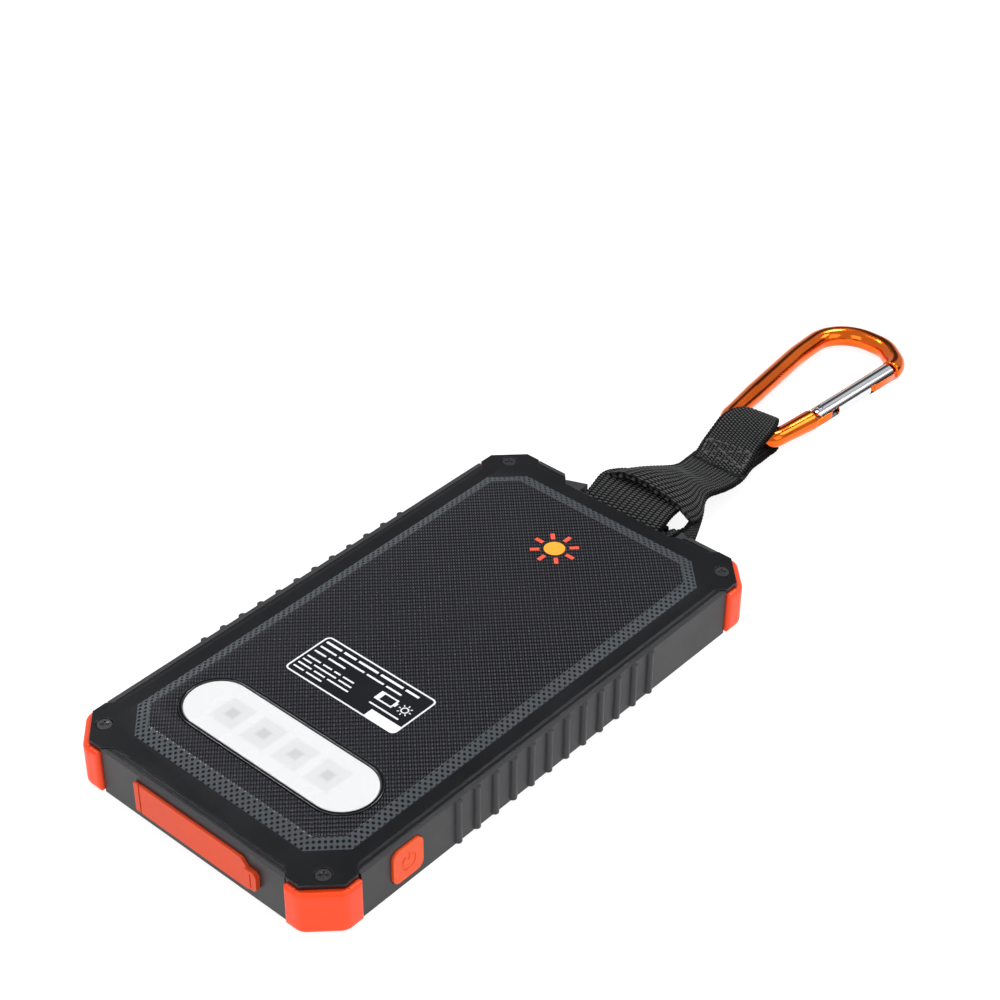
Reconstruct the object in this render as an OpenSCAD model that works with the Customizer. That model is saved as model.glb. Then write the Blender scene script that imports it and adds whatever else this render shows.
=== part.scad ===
// Solar phone charger: a rugged power bank with a lamp and cross-head screws
// on the cover side, a solar panel on the resting side, rubber corner bumpers,
// a rubber port cover, a side push button, and a webbing strap that carries a
// spring-gate carabiner.
// Origin: centre of the case footprint on the resting face. +X runs across the
// width towards the push button, +Y along the length towards the strap, +Z up
// towards the lamp. Left is -X, right is +X. Millimetres.

/* [Case] */
// Width of the rear cover across its corners
cover_w = 75; // [75:0.1:75.4]
// Length of the rear cover across its corners
cover_l = 139; // [139:0.1:139.4]
// 45 degree cut at the four corners of the cover
corner_cut = 6.4; // [6.3:0.1:6.6]
// Height of the cover's flat border above the resting face
cover_h = 12.2; // [12.1:0.1:12.6]
// Height of the raised panel above the cover's border
plateau_h = 0.95; // [0.7:0.05:0.95]
// Step of the cover's edge between its corners
cover_step = 1; // [0.8:0.1:1.1]
// Width of the lowered strip along the cover's edge
strip_w = 1.1; // [0.8:0.1:1.3]
// How far that strip lies below the cover's border
strip_drop = 0.35; // [0.2:0.05:0.4]
// Rounding of the corner bumpers' upright edges
bumper_round = 3.5; // [2:0.5:4]

/* [Grip] */
// Ribs on each long side
rib_count = 12; // [6:2:12]
// Distance from rib to rib
rib_pitch = 5.66; // [4.6:0.02:5.7]
// Radius of the half round ribs
rib_r = 0.95; // [0.7:0.05:1]

/* [Lamp] */
// Overall length of the lamp bezel
lamp_w = 54; // [53:0.5:54]
// Overall width of the lamp bezel
lamp_d = 17; // [16.5:0.1:17]
// Distance of the lamp centre from the case centre
lamp_y = 44.6; // [44.4:0.1:44.8]
// Distance between neighbouring light chips
led_pitch = 9.4; // [9:0.05:9.8]

/* [Ports and button] */
// Centre of the full size socket
usb_x = -4.5; // [-4.7:0.1:-4.4]
// Centre of the small socket
micro_x = 11; // [10.8:0.1:11.1]
// Side of the square push button
button_s = 8.6; // [8.2:0.1:8.6]
// Distance of the push button from the case centre
button_y = 46.3; // [46:0.1:46.4]

/* [Strap] */
// Radius of the lanyard bar
bar_r = 1.5; // [1.3:0.1:1.5]
// Thickness of the webbing loops
web_t = 1.4; // [1.2:0.1:1.4]
// Distance from the case centre to the carabiner's narrow end
hook_y = 124; // [123:0.5:126]

/* [Carabiner] */
// Radius of the carabiner rod inside the strap loop
rod_r = 2.35; // [2.2:0.05:2.35]
// Radius of the carabiner rod round the open eye
rod_w = 2.7; // [2.5:0.05:2.75]
// Length of the carabiner between its end centrelines
hook_l = 59.1; // [59:0.5:62]
// Radius of the gate
gate_r = 2.5; // [2.4:0.05:2.5]

/* [Hidden] */
$fn = 48;

// Case
half_w = cover_w / 2;
half_l = cover_l / 2;
wall_x = half_w + 0.2;       // outer faces of the long walls
wall_y = half_l + 0.1;       // outer faces of the end walls
corner_len = 10;             // reach of the cover's corners along each side
ledge_z = cover_h - 0.3;     // top of the wall beside the cover
seat_z = cover_h - 1.2;      // face the cover rests on
lid_z = seat_z + 0.05;       // underside of the cover
top_z = cover_h + plateau_h; // top of the raised panel
cavity_x = half_w - 1.9;     // inner faces of the cavity
cavity_y = half_l - 1.9;
floor_z = 3.6;
groove_depth = 0.45;
notch_y = half_l - 3.1;      // back of the strap notch
notch_x = 16;                // half width of the notch at its back
screw_x = half_w - 5;
screw_y = half_l - 5.4;
cut_growth = 0.586;          // growth of a 45 degree cut per mm of outline offset
cut_through = 20;            // height of cuts that pass right through

// Lanyard bar
bar_y = half_l + 1.5;
bar_z = 6.4;
bar_half = 14.9;

// Inside
board_z = 5.6;
board_thick = 1.2;
board_top = board_z + board_thick;
part_z = board_top + 0.03;   // underside of the parts on the main board
cell_z = 1.35;
cell_pitch = [31.8, 20.2];
panel_wire_x = 28;
panel_wire_y = -40;

// Ports and button
usb_z = 6.85;
micro_z = 8.275;
tether_x = -15.8;
flap_bottom = 2.4;
flap_top = 10.1;
tether_z = (flap_bottom + flap_top) / 2;
hinge_x = -14.6;
button_z = 6.5;

// Carabiner, in its own plane unless noted
hook_left = -11;             // narrow end, left centreline
hook_right = 3.4;            // narrow end, right centreline
hook_bend = 3.1;             // centreline radius of the narrow end's bends
hook_z = web_t + rod_r + 0.2;// height of the narrow end above the resting face
hook_tilt = asin((hook_z - rod_w - 0.05) / hook_l);
pin_pos = [5.45, 18.4];
gate_angle = -2.8;
gate_len = hook_l - 29.5;
tang_thick = 2.3;
spring_y = 9.2;              // first turn of the spring, from the pin
spring_turns = 6;            // 1 mm apart

// Strap
strap_half = 14.1;           // half width at the bar
web_gap = 0.1;               // play between webbing and rods
tongue_left = hook_left + hook_bend;
tongue_right = hook_right - hook_bend;
stitch_pos = [-0.8, hook_y - 12];

// Print on the raised panel
print_x = -0.7;
label_y = -20;
sun_y = 43.9;
word_left = -15.2;
word_gap = 0.8;
// Rows of plain bars: [y, bar height, [bar widths]]
label_rows = [
  [5.1, 0.62, [4.6, 3.6, 5.8, 6.6, 3.8]],
  [3.2, 0.5, [4.8, 7.6, 5, 4.4]],
  [1.4, 0.5, [3.4, 5]],
  [-0.8, 0.42, [4, 2.6, 1.8, 3.2]],
  [-2.2, 0.42, [2.6, 6.6, 3.8]],
  [-3.6, 0.42, [4, 3.2, 6.2]],
  [-5, 0.42, [3, 4.6]]];

// ---------- vectors ----------
function unit(v) = v / norm(v);
function cross_z(a, b) = a[0] * b[1] - a[1] * b[0];
function heading(v) = atan2(v[1], v[0]);
function left_of(v) = [-v[1], v[0]];

// ---------- plan shapes ----------
// Rectangle of half sizes x, y with its corners cut at 45 degrees
function octagon(x, y, cut) = [[x - cut, -y], [x, -y + cut], [x, y - cut], [x - cut, y],
  [-x + cut, y], [-x, y - cut], [-x, -y + cut], [-x + cut, -y]];

// The same, each corner an arc of six points
function round_octagon(x, y, cut, radius) =
  let (corners = octagon(x, y, cut), n = len(corners))
  [for (i = [0 : n - 1])
    let (dir = unit(corners[i] - corners[(i + n - 1) % n]),
      start = corners[i] - dir * radius * tan(22.5),
      centre = start + radius * left_of(dir),
      angle = heading(start - centre))
    for (k = [0 : 5]) centre + radius * [cos(angle + k * 9), sin(angle + k * 9)]];

// Cavity outline grown outwards: an octagon that steps round the strap notch
function cavity_pts(grow) =
  let (x = cavity_x + grow, y = cavity_y + grow, cut = 11.2 + cut_growth * grow,
    step_y = notch_y - 2.2 + grow,
    step_x = notch_x + 0.91 - (1 - cut_growth) * grow,
    end_x = step_x + y - step_y)
  [[x - cut, -y], [x, -y + cut], [x, y - cut], [x - cut, y],
   [end_x, y], [step_x, step_y], [-step_x, step_y], [-end_x, y],
   [-x + cut, y], [-x, y - cut], [-x, -y + cut], [-x + cut, -y]];

module stadium(width, depth) {
  square([width - depth, depth], center = true);
  for (s = [-1, 1]) translate([s * (width - depth) / 2, 0]) circle(d = depth);
}

module stadium_ring(width, depth, wall) difference() {
  stadium(width, depth);
  stadium(width - 2 * wall, depth - 2 * wall);
}

module round_rect(width, depth, radius) {
  square([width - 2 * radius, depth], center = true);
  square([width, depth - 2 * radius], center = true);
  for (x = [-1, 1], y = [-1, 1])
    translate([x * (width / 2 - radius), y * (depth / 2 - radius)]) circle(r = radius);
}

module ring(outer, inner) difference() {
  circle(r = outer);
  circle(r = inner);
}

// Eight bars round a centre
module spokes(distance, size)
  for (a = [0 : 45 : 315]) rotate(a) translate([distance, 0]) square(size, center = true);

// Notch in the strap end, 45 degree sides
module notch_2d() polygon([[-notch_x, notch_y], [notch_x, notch_y],
  [notch_x + 6, notch_y + 6], [-notch_x - 6, notch_y + 6]]);

// Cover outline; between its corners the edge is stepped in, and each step is
// a 45 degree line
module cover_2d(grow = 0, step = cover_step) {
  over = 2; // how far the removed pieces reach beyond the outline
  near = corner_len - over;
  far = corner_len + step;
  difference() {
    polygon(octagon(half_w + grow, half_l + grow, corner_cut + cut_growth * grow));
    for (s = [0, 1]) mirror([s, 0]) polygon([
      [half_w - step + grow, -half_l + far], [half_w + over + grow, -half_l + near],
      [half_w + over + grow, half_l - near], [half_w - step + grow, half_l - far]]);
    for (s = [0, 1]) mirror([0, s]) polygon([
      [-half_w + far, half_l - step + grow], [half_w - far, half_l - step + grow],
      [half_w - near, half_l + over + grow], [-half_w + near, half_l + over + grow]]);
  }
}

// ---------- solids and places ----------
// Plan shape raised from height z
module slab(z, height) translate([0, 0, z]) linear_extrude(height) children();

// Side view, drawn as (y, z), swept along X
module extrude_x(x, length)
  translate([x, 0, 0]) rotate([90, 0, 90]) linear_extrude(length) children();

module rod_x(x_from, x_to, y, z, radius)
  translate([x_from, y, z]) rotate([0, 90, 0]) cylinder(h = x_to - x_from, r = radius);

module rod_y(y, length, radius)
  translate([0, y, 0]) rotate([-90, 0, 0]) cylinder(h = length, r = radius);

// Box centred on x and z that starts y_in inside the cover's port end
module port_box(x, y_in, z, size)
  translate([x - size[0] / 2, y_in - half_l, z - size[2] / 2]) cube(size);

module at_corners()
  for (x = [-1, 1], y = [-1, 1]) translate([x * screw_x, y * screw_y, 0]) children();

module at_panel_wires(z)
  for (s = [-1, 1]) translate([s * panel_wire_x, panel_wire_y, z]) children();

module at_lamp() translate([0, -lamp_y, 0]) children();

// Button axis at the cover's right edge
module at_button() translate([half_w, -button_y, button_z]) children();

// ---------- case ----------
module ribs() {
  for (s = [-1, 1], i = [0 : rib_count - 1])
    translate([s * (wall_x - 0.05), (i - (rib_count - 1) / 2) * rib_pitch, 0.4])
      cylinder(h = ledge_z - 0.6, r = rib_r, $fn = 32);
}

module case_shell() color("#3c3d40") {
  difference() {
    union() {
      linear_extrude(ledge_z) {
        square([2 * wall_x, 2 * (half_l - corner_len - 0.6)], center = true);
        square([2 * (half_w - corner_len - 0.2), 2 * wall_y], center = true);
      }
      linear_extrude(seat_z) polygon(octagon(half_w - 0.8, half_l - 0.8, 6));
      ribs();
    }
    // seat for the cover
    slab(seat_z, 5) cover_2d(0.1);
    // inside
    slab(floor_z, 10) polygon(cavity_pts(0));
    // gasket groove
    slab(seat_z - groove_depth, 2) difference() {
      polygon(cavity_pts(0.75));
      polygon(cavity_pts(0.2));
    }
    // panel recess in the resting side
    slab(-1, 3.6) panel_2d(0);
    // strap notch, full height
    slab(-1, cut_through) notch_2d();
    // pilot holes for the cover screws
    at_corners() translate([0, 0, 4]) cylinder(h = 10, r = 1.03);
    // socket openings in the end wall
    port_box(usb_x, -4, usb_z, [14, 8, 6.2]);
    port_box(micro_x, -4, micro_z + 0.005, [8.2, 8, 3.05]);
    // tether slot in the end wall
    port_box(tether_x, -2, tether_z, [1.2, 4.4, 3.7]);
    // button opening in the side wall
    at_button() extrude_x(-2.4, 6) round_rect(button_s + 0.3, button_s + 0.3, 2.05);
    // wire holes in the floor
    at_panel_wires(2) cylinder(h = 3, r = 1);
  }
  lanyard_bar();
}

// Bar across the strap notch, with a bracket at each end
module lanyard_bar() {
  rod_x(-bar_half, bar_half, bar_y, bar_z, bar_r);
  for (s = [0, 1]) mirror([s, 0, 0]) slab(3.2, 6.2) polygon([
    [14.5, bar_y + 1.7], [18.3, bar_y + 0.1], [21.5, half_l + 0.2], [21.5, half_l - 3],
    [18.6, half_l - 1.9], [16.8, half_l - 0.7], [14.5, bar_y - 1.8]]);
}

// ---------- cover ----------
// One face of the raised panel: removes everything above a plane that starts at
// a distance from the centre, at the border's height, and reaches the panel's
// height after the given run inwards
module bevel_cut(direction, distance, run)
  rotate([0, 0, direction]) translate([distance, 0, cover_h])
    rotate([0, atan(plateau_h / run), 0]) translate([-60, -120, 0]) cube([120, 240, 20]);

module plateau() {
  x = half_w - 5.5;
  y = half_l - 7;
  cut = 7;
  base_z = lid_z + 0.3;
  difference() {
    slab(base_z, top_z - base_z) polygon(octagon(x, y, cut));
    for (a = [0, 180]) bevel_cut(a, x, 3);
    for (a = [90, 270]) bevel_cut(a, y, 3.8);
    // the corner faces lie square to the 45 degree corner cuts
    for (a = [45, 135, 225, 315]) bevel_cut(a, (x + y - cut) / sqrt(2), 3.2);
  }
}

module rear_cover() color("#24272c") difference() {
  union() {
    slab(lid_z, cover_h - strip_drop - lid_z) cover_2d();
    slab(lid_z + 0.2, cover_h - lid_z - 0.2) cover_2d(0, cover_step + strip_w);
    plateau();
  }
  slab(5, cut_through) notch_2d();
  at_lamp() slab(5, cut_through) stadium(lamp_w + 0.3, lamp_d + 0.3);
  // screw holes and head recesses
  at_corners() translate([0, 0, 5]) cylinder(h = cut_through, r = 1.15);
  at_corners() translate([0, 0, cover_h - 0.5]) cylinder(h = 5, r = 1.85);
}

module cover_gasket() color("#101010") slab(seat_z - 0.42, groove_depth) difference() {
  polygon(cavity_pts(0.7));
  polygon(cavity_pts(0.25));
}

module cover_screws() color("#1c1d20") at_corners() difference() {
  union() {
    translate([0, 0, cover_h - 0.47]) cylinder(h = 0.42, r = 1.65);
    translate([0, 0, 4.6]) cylinder(h = cover_h - 5, r = 1);
  }
  // cross in the head
  for (a = [45, 135]) rotate([0, 0, a])
    translate([0, 0, cover_h]) cube([2, 0.5, 0.7], center = true);
}

// Corner guard: an angled band that wraps the strap end's right corner;
// the others are its mirror images
module bumper() color("#ff5a32") linear_extrude(seat_z - 0.02) difference() {
  intersection() {
    polygon(round_octagon(half_w + 1.2, half_l + 1.2, corner_cut + 0.3, bumper_round));
    translate([half_w - corner_len, half_l - corner_len - 0.4]) square([30, 30]);
  }
  polygon(octagon(half_w - 0.75, half_l - 0.75, 6.03));
}
module bumper_strap_right() bumper();
module bumper_strap_left() mirror([1, 0, 0]) bumper();
module bumper_port_right() mirror([0, 1, 0]) bumper();
module bumper_port_left() mirror([1, 0, 0]) mirror([0, 1, 0]) bumper();

// ---------- solar panel ----------
// Panel outline, smaller than its recess by the gap
module panel_2d(gap = 0.2) polygon(octagon(half_w - 4.5 - gap, half_l - 6.5 - gap, 4));

module at_cells(z)
  for (i = [-1, 1], j = [0 : 5])
    translate([i * cell_pitch[0] / 2, (j - 2.5) * cell_pitch[1], z]) children();

module solar_window() color("#9fb4c8", 0.4) slab(0.5, 0.7) panel_2d();

module solar_cells() color("#14203c")
  at_cells(cell_z + 0.1) cube([31, 19.6, 0.2], center = true);

module cell_busbars() color("#c9ccd2") at_cells(cell_z - 0.06)
  for (k = [-1, 1]) translate([k * 7.7, 0, 0]) cube([1, 19, 0.06], center = true);

module solar_board() color("#0e1116") slab(1.62, 0.9) panel_2d();

module panel_wires() color("#b02020")
  at_panel_wires(2.56) cylinder(h = board_z - 2.6, r = 0.5, $fn = 24);

// ---------- lamp ----------
module lamp_bezel() color("#08090a") at_lamp() {
  // flange under the cover
  slab(lid_z - 0.6, 0.55) stadium_ring(lamp_w + 2, lamp_d + 2, 3);
  // rim
  slab(lid_z - 0.3, top_z + 0.5 - lid_z) stadium_ring(lamp_w, lamp_d, 0.8);
}

module lamp_lens() color("#f2f4f5") at_lamp() difference() {
  slab(lid_z, top_z + 0.05 - lid_z) stadium(lamp_w - 1.8, lamp_d - 1.8);
  slab(lid_z - 1, 1.9) stadium(lamp_w - 6, lamp_d - 6);
}

module lamp_leds() color("#f6efc2") for (i = [0 : 3])
  translate([(i - 1.5) * led_pitch, -lamp_y, 10.35]) {
    cube([7.2, 7.8, 0.9], center = true);
    translate([0, 0, 0.5]) cube([3, 3, 0.3], center = true);
  }

module lamp_board() color("#e8e8e4") at_lamp() slab(8.8, 1) square([50, 12], center = true);

module lamp_wires() color("#c8b020") for (s = [-1, 1])
  translate([s * 22, -lamp_y - 3, board_top + 0.05]) cylinder(h = 1.9, r = 0.5, $fn = 24);

// ---------- battery ----------
module battery_cell() color("#b9bcc0") translate([-30, -27, floor_z + 0.1]) cube([60, 83, 5.3]);
module foam_pad() color("#303236") translate([-28, -25, 9.1]) cube([56, 79, seat_z - 9.2]);
module protection_board() color("#1d5a2c") translate([-10, -29.6, 4.2]) cube([20, 2.4, 4.4]);

module battery_leads() color("#b02020") for (i = [-1, 0, 1])
  translate([i * 4, -29.65, 7.45]) rotate([90, 0, 0]) cylinder(h = 6.5, r = 0.55, $fn = 24);

// ---------- main board ----------
module main_board() color("#1c6b3a") slab(board_z, board_thick) difference() {
  side_x = half_w - 3.9;
  side_y = -half_l + 12.2;
  back_y = -33;
  cut_y = -80; // beyond the port end
  polygon([[-24, -half_l + 2.6], [24, -half_l + 2.6], [side_x, side_y], [side_x, back_y],
    [-side_x, back_y], [-side_x, side_y]]);
  // room for the full size socket, the tether and the switch
  translate([usb_x - 7.1, cut_y]) square([14.2, -53.7 - cut_y]);
  translate([tether_x - 2, cut_y]) square([4, -66 - cut_y]);
  translate([half_w - 7.6, -button_y - 3.3]) square([10, 6.6]);
}

module board_chips() color("#17181a") {
  // x, y, width, depth, height
  chips = [[-19, -44, 6, 6, 1], [9, -45, 7, 7, 1.2], [20, -58, 5, 4, 1.1], [-17, -60, 4, 5, 1.4]];
  for (chip = chips) translate([chip[0], chip[1], part_z + chip[4] / 2])
    cube([chip[2], chip[3], chip[4]], center = true);
}

module inductor() color("#3a3a3e") translate([28.6, -36.8, part_z]) difference() {
  translate([0, 0, 1.2]) cube([5.6, 5.6, 2.4], center = true);
  translate([0, 0, 2]) cylinder(h = 1, r = 2.1);
}

module capacitors() color("#c8a24a") for (y = [-37, -43])
  translate([-28.6, y, part_z]) cylinder(h = 2.8, r = 1.9);

// ---------- sockets ----------
module usb_a_socket() color("#b8bcc2") difference() {
  port_box(usb_x, 1.95, usb_z, [13.7, 13.55, 6.3]);
  port_box(usb_x, 0, usb_z, [13, 15.1, 5.6]);
}

// Tongue and the block behind it
module usb_a_tongue() color("#f2f2f0") {
  port_box(usb_x, 2.9, usb_z + 1.27, [11.1, 10.2, 1.84]);
  port_box(usb_x, 13, usb_z, [12.8, 2, 5.4]);
}

module micro_usb_socket() color("#b8bcc2") {
  difference() {
    port_box(micro_x, 1.95, micro_z, [7.9, 5.2, 2.85]);
    port_box(micro_x, 0, micro_z, [7.3, 6.4, 2.35]);
  }
  // tongue
  port_box(micro_x, 2.6, micro_z + 0.325, [3.8, 4, 0.6]);
}

// ---------- push button ----------
module tact_switch() color("#202124") at_button() difference() {
  translate([-7.3, -3, -1.8]) cube([3.7, 6, 3.6]);
  rod_x(-5.2, -0.2, 0, 0, 1.08);
}

module switch_plunger() color("#d8d8d8") at_button() rod_x(-4.5, -2.55, 0, 0, 1);

module power_button() color("#ff5a32") at_button() difference() {
  union() {
    // inner flange, stem and cap
    translate([-2.5, -5, -2.7]) cube([0.5, 10, 6]);
    translate([-2.2, -3, -2.7]) cube([1.8, 6, 6]);
    extrude_x(-0.7, 1.5) round_rect(button_s, button_s, 1.9);
  }
  // engraved power mark: open ring and a bar
  translate([0, 0, -0.1]) extrude_x(0.65, 1) {
    difference() {
      ring(2.1, 1.6);
      translate([-0.8, 0]) square([1.6, 3]);
    }
    translate([-0.28, 0.5]) square([0.56, 1.9]);
  }
}

// ---------- port cover ----------
// Sheet drawn as (x, z) that stands out from the end wall
module flap_sheet(thick)
  translate([0, -half_l - 0.15, 0]) rotate([90, 0, 0]) linear_extrude(thick) children();

module port_cover() color("#e0582f") difference() {
  union() {
    // hinge bead
    translate([hinge_x, -half_l - 0.525, flap_bottom])
      cylinder(h = flap_top - flap_bottom, r = 0.36);
    // cover plate
    flap_sheet(0.75) polygon([[hinge_x, flap_bottom], [17.3, flap_bottom], [17.3, 8.3],
      [15.5, flap_top], [hinge_x, flap_top]]);
    // pull tab
    flap_sheet(1.15) polygon([[16.8, 3.5], [19.3, 3.5], [20, 4.2], [20, 7.6],
      [19.3, 8.3], [16.8, 8.3]]);
    // plugs
    port_box(usb_x, -0.4, usb_z, [13.2, 1.9, 5.4]);
    port_box(micro_x, -0.4, micro_z + 0.025, [7.2, 1.9, 2.2]);
  }
  // finger groove on the pull tab
  translate([18.2, -half_l - 1.5, 4]) cube([0.5, 0.4, 3.8]);
}

// Fixed end of the rubber cover, keyed through the wall
module port_cover_tether() color("#e0582f") {
  port_box(tether_x, -0.9, tether_z, [1.4, 0.75, flap_top - flap_bottom]);
  port_box(tether_x, -0.4, tether_z, [1, 3.4, 3.5]);
  port_box(tether_x, 2, tether_z, [2.8, 1, 4.1]);
}

// ---------- printed graphics ----------
module printed(y) slab(top_z + 0.02, 0.05) translate([print_x, y]) children();

// Start of bar i in a row of bars
function word_x(widths, i) =
  i == 0 ? word_left : word_x(widths, i - 1) + widths[i - 1] + word_gap;

module word_row(y, height, widths)
  for (i = [0 : len(widths) - 1])
    translate([word_x(widths, i), y - height / 2]) square([widths[i], height]);

module battery_sign() difference() {
  union() {
    square([5, 2.8], center = true);
    translate([2.7, 0]) square([0.5, 1.2], center = true);
  }
  translate([0.4, 0]) square([3.4, 2], center = true);
}

module lamp_sign() {
  ring(0.95, 0.65);
  spokes(1.45, [0.5, 0.25]);
}

module label_print() color("#e8e8e8") printed(label_y) {
  // frame
  difference() {
    round_rect(32.6, 13.8, 1.3);
    round_rect(31.8, 13, 0.9);
  }
  for (row = label_rows) word_row(row[0], row[1], row[2]);
  translate([5.4, -3]) square([8.4, 0.42]);
  translate([7.6, 0.2]) battery_sign();
  translate([12.9, 0.2]) lamp_sign();
  // blank tab in the corner
  intersection() {
    round_rect(32, 13.2, 1);
    translate([7.4, -7]) square([10, 2.9]);
  }
}

module sun_disc() color("#ffb02e") printed(sun_y) circle(r = 2.5);

module sun_rays() color("#ff5a3c") printed(sun_y) spokes(4.6, [2.2, 1]);

// ---------- strap ----------
// Plan (x, y): wide at the bar, a waist, then the sewn end and its tongue
module strap_plan() polygon([
  [-strap_half, bar_y], [strap_half, bar_y], [strap_half, bar_y + 8],
  [8, hook_y - 28], [8.6, hook_y - 19], [6.4, hook_y - 4.2],
  [tongue_right, hook_y - 4.2], [tongue_right, hook_y - 2],
  [tongue_left, hook_y - 2], [tongue_left, hook_y - 4.2],
  [-10.4, hook_y - 4.2], [-8.6, hook_y - 18], [-7.2, hook_y - 27], [-strap_half, bar_y + 8]]);

// Side (y, z): falls from the bar towards the resting face
module strap_side() polygon([
  [bar_y, bar_z + 2.9], [bar_y + 8, bar_z + 2.8],
  [hook_y - 27, 6.9], [hook_y - 19, 5.5], [hook_y - 1, 5.5],
  [hook_y - 1, 2.3], [hook_y - 19, 2.3], [hook_y - 27, 4.1],
  [bar_y + 9, 5.4], [bar_y, 4.9]]);

module strap() color("#1a1b1d") difference() {
  union() {
    intersection() {
      slab(-5, 30) strap_plan();
      extrude_x(-40, 80) strap_side();
    }
    // loops round the bar and the carabiner
    rod_x(-strap_half, strap_half, bar_y, bar_z, bar_r + web_gap + web_t);
    rod_x(tongue_left, tongue_right, hook_y, hook_z, rod_r + web_gap + web_t);
  }
  rod_x(-20, 20, bar_y, bar_z, bar_r + web_gap);
  rod_x(-20, 20, hook_y, hook_z, rod_r + web_gap);
}

// Stitched box with a cross in it
module strap_stitching() color("#2b2c30") slab(5.53, 0.2) translate(stitch_pos) {
  difference() {
    square([13, 12], center = true);
    square([12.2, 11.2], center = true);
  }
  for (s = [-1, 1]) rotate(s * 42) square([16.6, 0.45], center = true);
}

// ---------- carabiner ----------
// Distance from corner b to the start of a fillet between a-b and b-c
function fillet_run(a, b, c, radius) = radius * tan(acos(unit(b - a) * unit(c - b)) / 2);

module rod_seg(from, to, r_from, r_to)
  translate([from[0], from[1], 0]) rotate([0, 0, heading(to - from)])
    rotate([0, 90, 0]) cylinder(h = norm(to - from), r1 = r_from, r2 = r_to);

// Round rod along a path of straights joined by arcs, one bend radius per point
module rod_path(pts, bends, radius) {
  last = len(pts) - 1;
  // straights are a hair thinner than the arcs and run a little way into them
  thin = radius - 0.02;
  lap = 0.25;
  for (i = [0 : last - 1]) {
    dir = unit(pts[i + 1] - pts[i]);
    trim_start = i == 0 ? 0 : fillet_run(pts[i - 1], pts[i], pts[i + 1], bends[i]) - lap;
    trim_end = i == last - 1 ? 0
      : fillet_run(pts[i], pts[i + 1], pts[i + 2], bends[i + 1]) - lap;
    rod_seg(pts[i] + dir * trim_start, pts[i + 1] - dir * trim_end, thin, thin);
  }
  for (i = [1 : last - 1]) {
    dir_in = unit(pts[i] - pts[i - 1]);
    dir_out = unit(pts[i + 1] - pts[i]);
    side = cross_z(dir_in, dir_out) > 0 ? 1 : -1;
    turn = acos(dir_in * dir_out);
    start = pts[i] - dir_in * bends[i] * tan(turn / 2);
    centre = start + side * bends[i] * left_of(dir_in);
    first_angle = heading(start - centre) - (side < 0 ? turn : 0);
    translate([centre[0], centre[1], 0]) rotate([0, 0, first_angle])
      rotate_extrude(angle = turn) translate([bends[i], 0]) circle(r = radius, $fn = 48);
  }
}

// Places the carabiner's own plane: narrow end in the strap loop, wide end down
module hook_frame() translate([0, hook_y, hook_z]) rotate([-hook_tilt, 0, 0]) children();

// Origin at the pin, +Y along the gate towards the nose
module gate_frame()
  translate([pin_pos[0], pin_pos[1], 0]) rotate([0, 0, gate_angle]) children();

// Flat tongue of the body, drawn in the gate's frame
module tang() linear_extrude(tang_thick, center = true)
  translate(pin_pos) rotate(gate_angle) children();

module carabiner_body() color("#eb7a2c") hook_frame() difference() {
  shoulder = [5.2, 15.4];
  nose = [6.93, hook_l - 10.2];
  root = [hook_left, 0];
  back = [-15.9, 38];
  back_dir = unit(back - root);
  union() {
    // narrow end
    rod_path([shoulder, [hook_right, 0], root, root + back_dir * 10],
      [0, hook_bend, hook_bend, 0], rod_r);
    // back, wide end and nose
    rod_path([root + back_dir * 14.75, back, [-16.6, hook_l - 0.8], [-0.2, hook_l - 0.8],
      [7.1, hook_l - 6.5], nose], [0, 60, 10.5, 8, 6, 0], rod_w);
    // the rod swells between the strap loop and the back, and at the pivot
    rod_seg(root + back_dir * 7, root + back_dir * 15, rod_r - 0.1, rod_w);
    rod_seg([4.1, 6.4], shoulder, rod_r - 0.15, 2.7);
    // pivot tang
    tang() intersection() {
      circle(r = 4.3);
      translate([-2.4, -3.4]) square([4.9, 8]);
    }
    // nose tang
    tang() polygon([[-1.4, gate_len + 1.5], [-1.4, gate_len - 5], [-0.6, gate_len - 9],
      [1.2, gate_len - 9.4], [2.5, gate_len - 8.6], [2.5, gate_len + 1.5]]);
  }
  translate([pin_pos[0], pin_pos[1], -5]) cylinder(h = 10, r = 0.83);
}

module gate_pin() color("#9a9da1") hook_frame()
  translate([pin_pos[0], pin_pos[1], -gate_r - 0.15]) cylinder(h = 2 * gate_r + 0.3, r = 0.8);

module carabiner_gate() color("#d5d8dc") hook_frame() gate_frame() difference() {
  slot = 2.54; // height of the slots for the tangs
  union() {
    rod_y(0, gate_len, gate_r);
    // rounded pivot end
    intersection() {
      cylinder(h = 6, r = gate_r - 0.01, center = true);
      rod_y(-4, 5, gate_r);
    }
  }
  translate([-4, -4, -slot / 2]) cube([8, 9.6, slot]);
  translate([-4, gate_len - 10.4, -slot / 2]) cube([8, 12, slot]);
  // pin hole and spring bore
  cylinder(h = 10, r = 0.87, center = true);
  rod_y(5, 10.5, 1.22);
}

// Separate rings joined by a straight wire
module gate_spring() color("#8d9095") hook_frame() gate_frame() {
  coil_r = 0.85;
  for (i = [0 : spring_turns - 1]) translate([0, spring_y + i, 0]) rotate([90, 0, 0])
    rotate_extrude() translate([coil_r, 0]) circle(r = 0.2, $fn = 16);
  translate([0, 0, coil_r]) rod_y(spring_y, spring_turns - 1, 0.15, $fn = 16);
}

module gate_plunger() color("#6f7276") hook_frame() gate_frame() rod_y(4.5, 4.4, 1.12);

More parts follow.
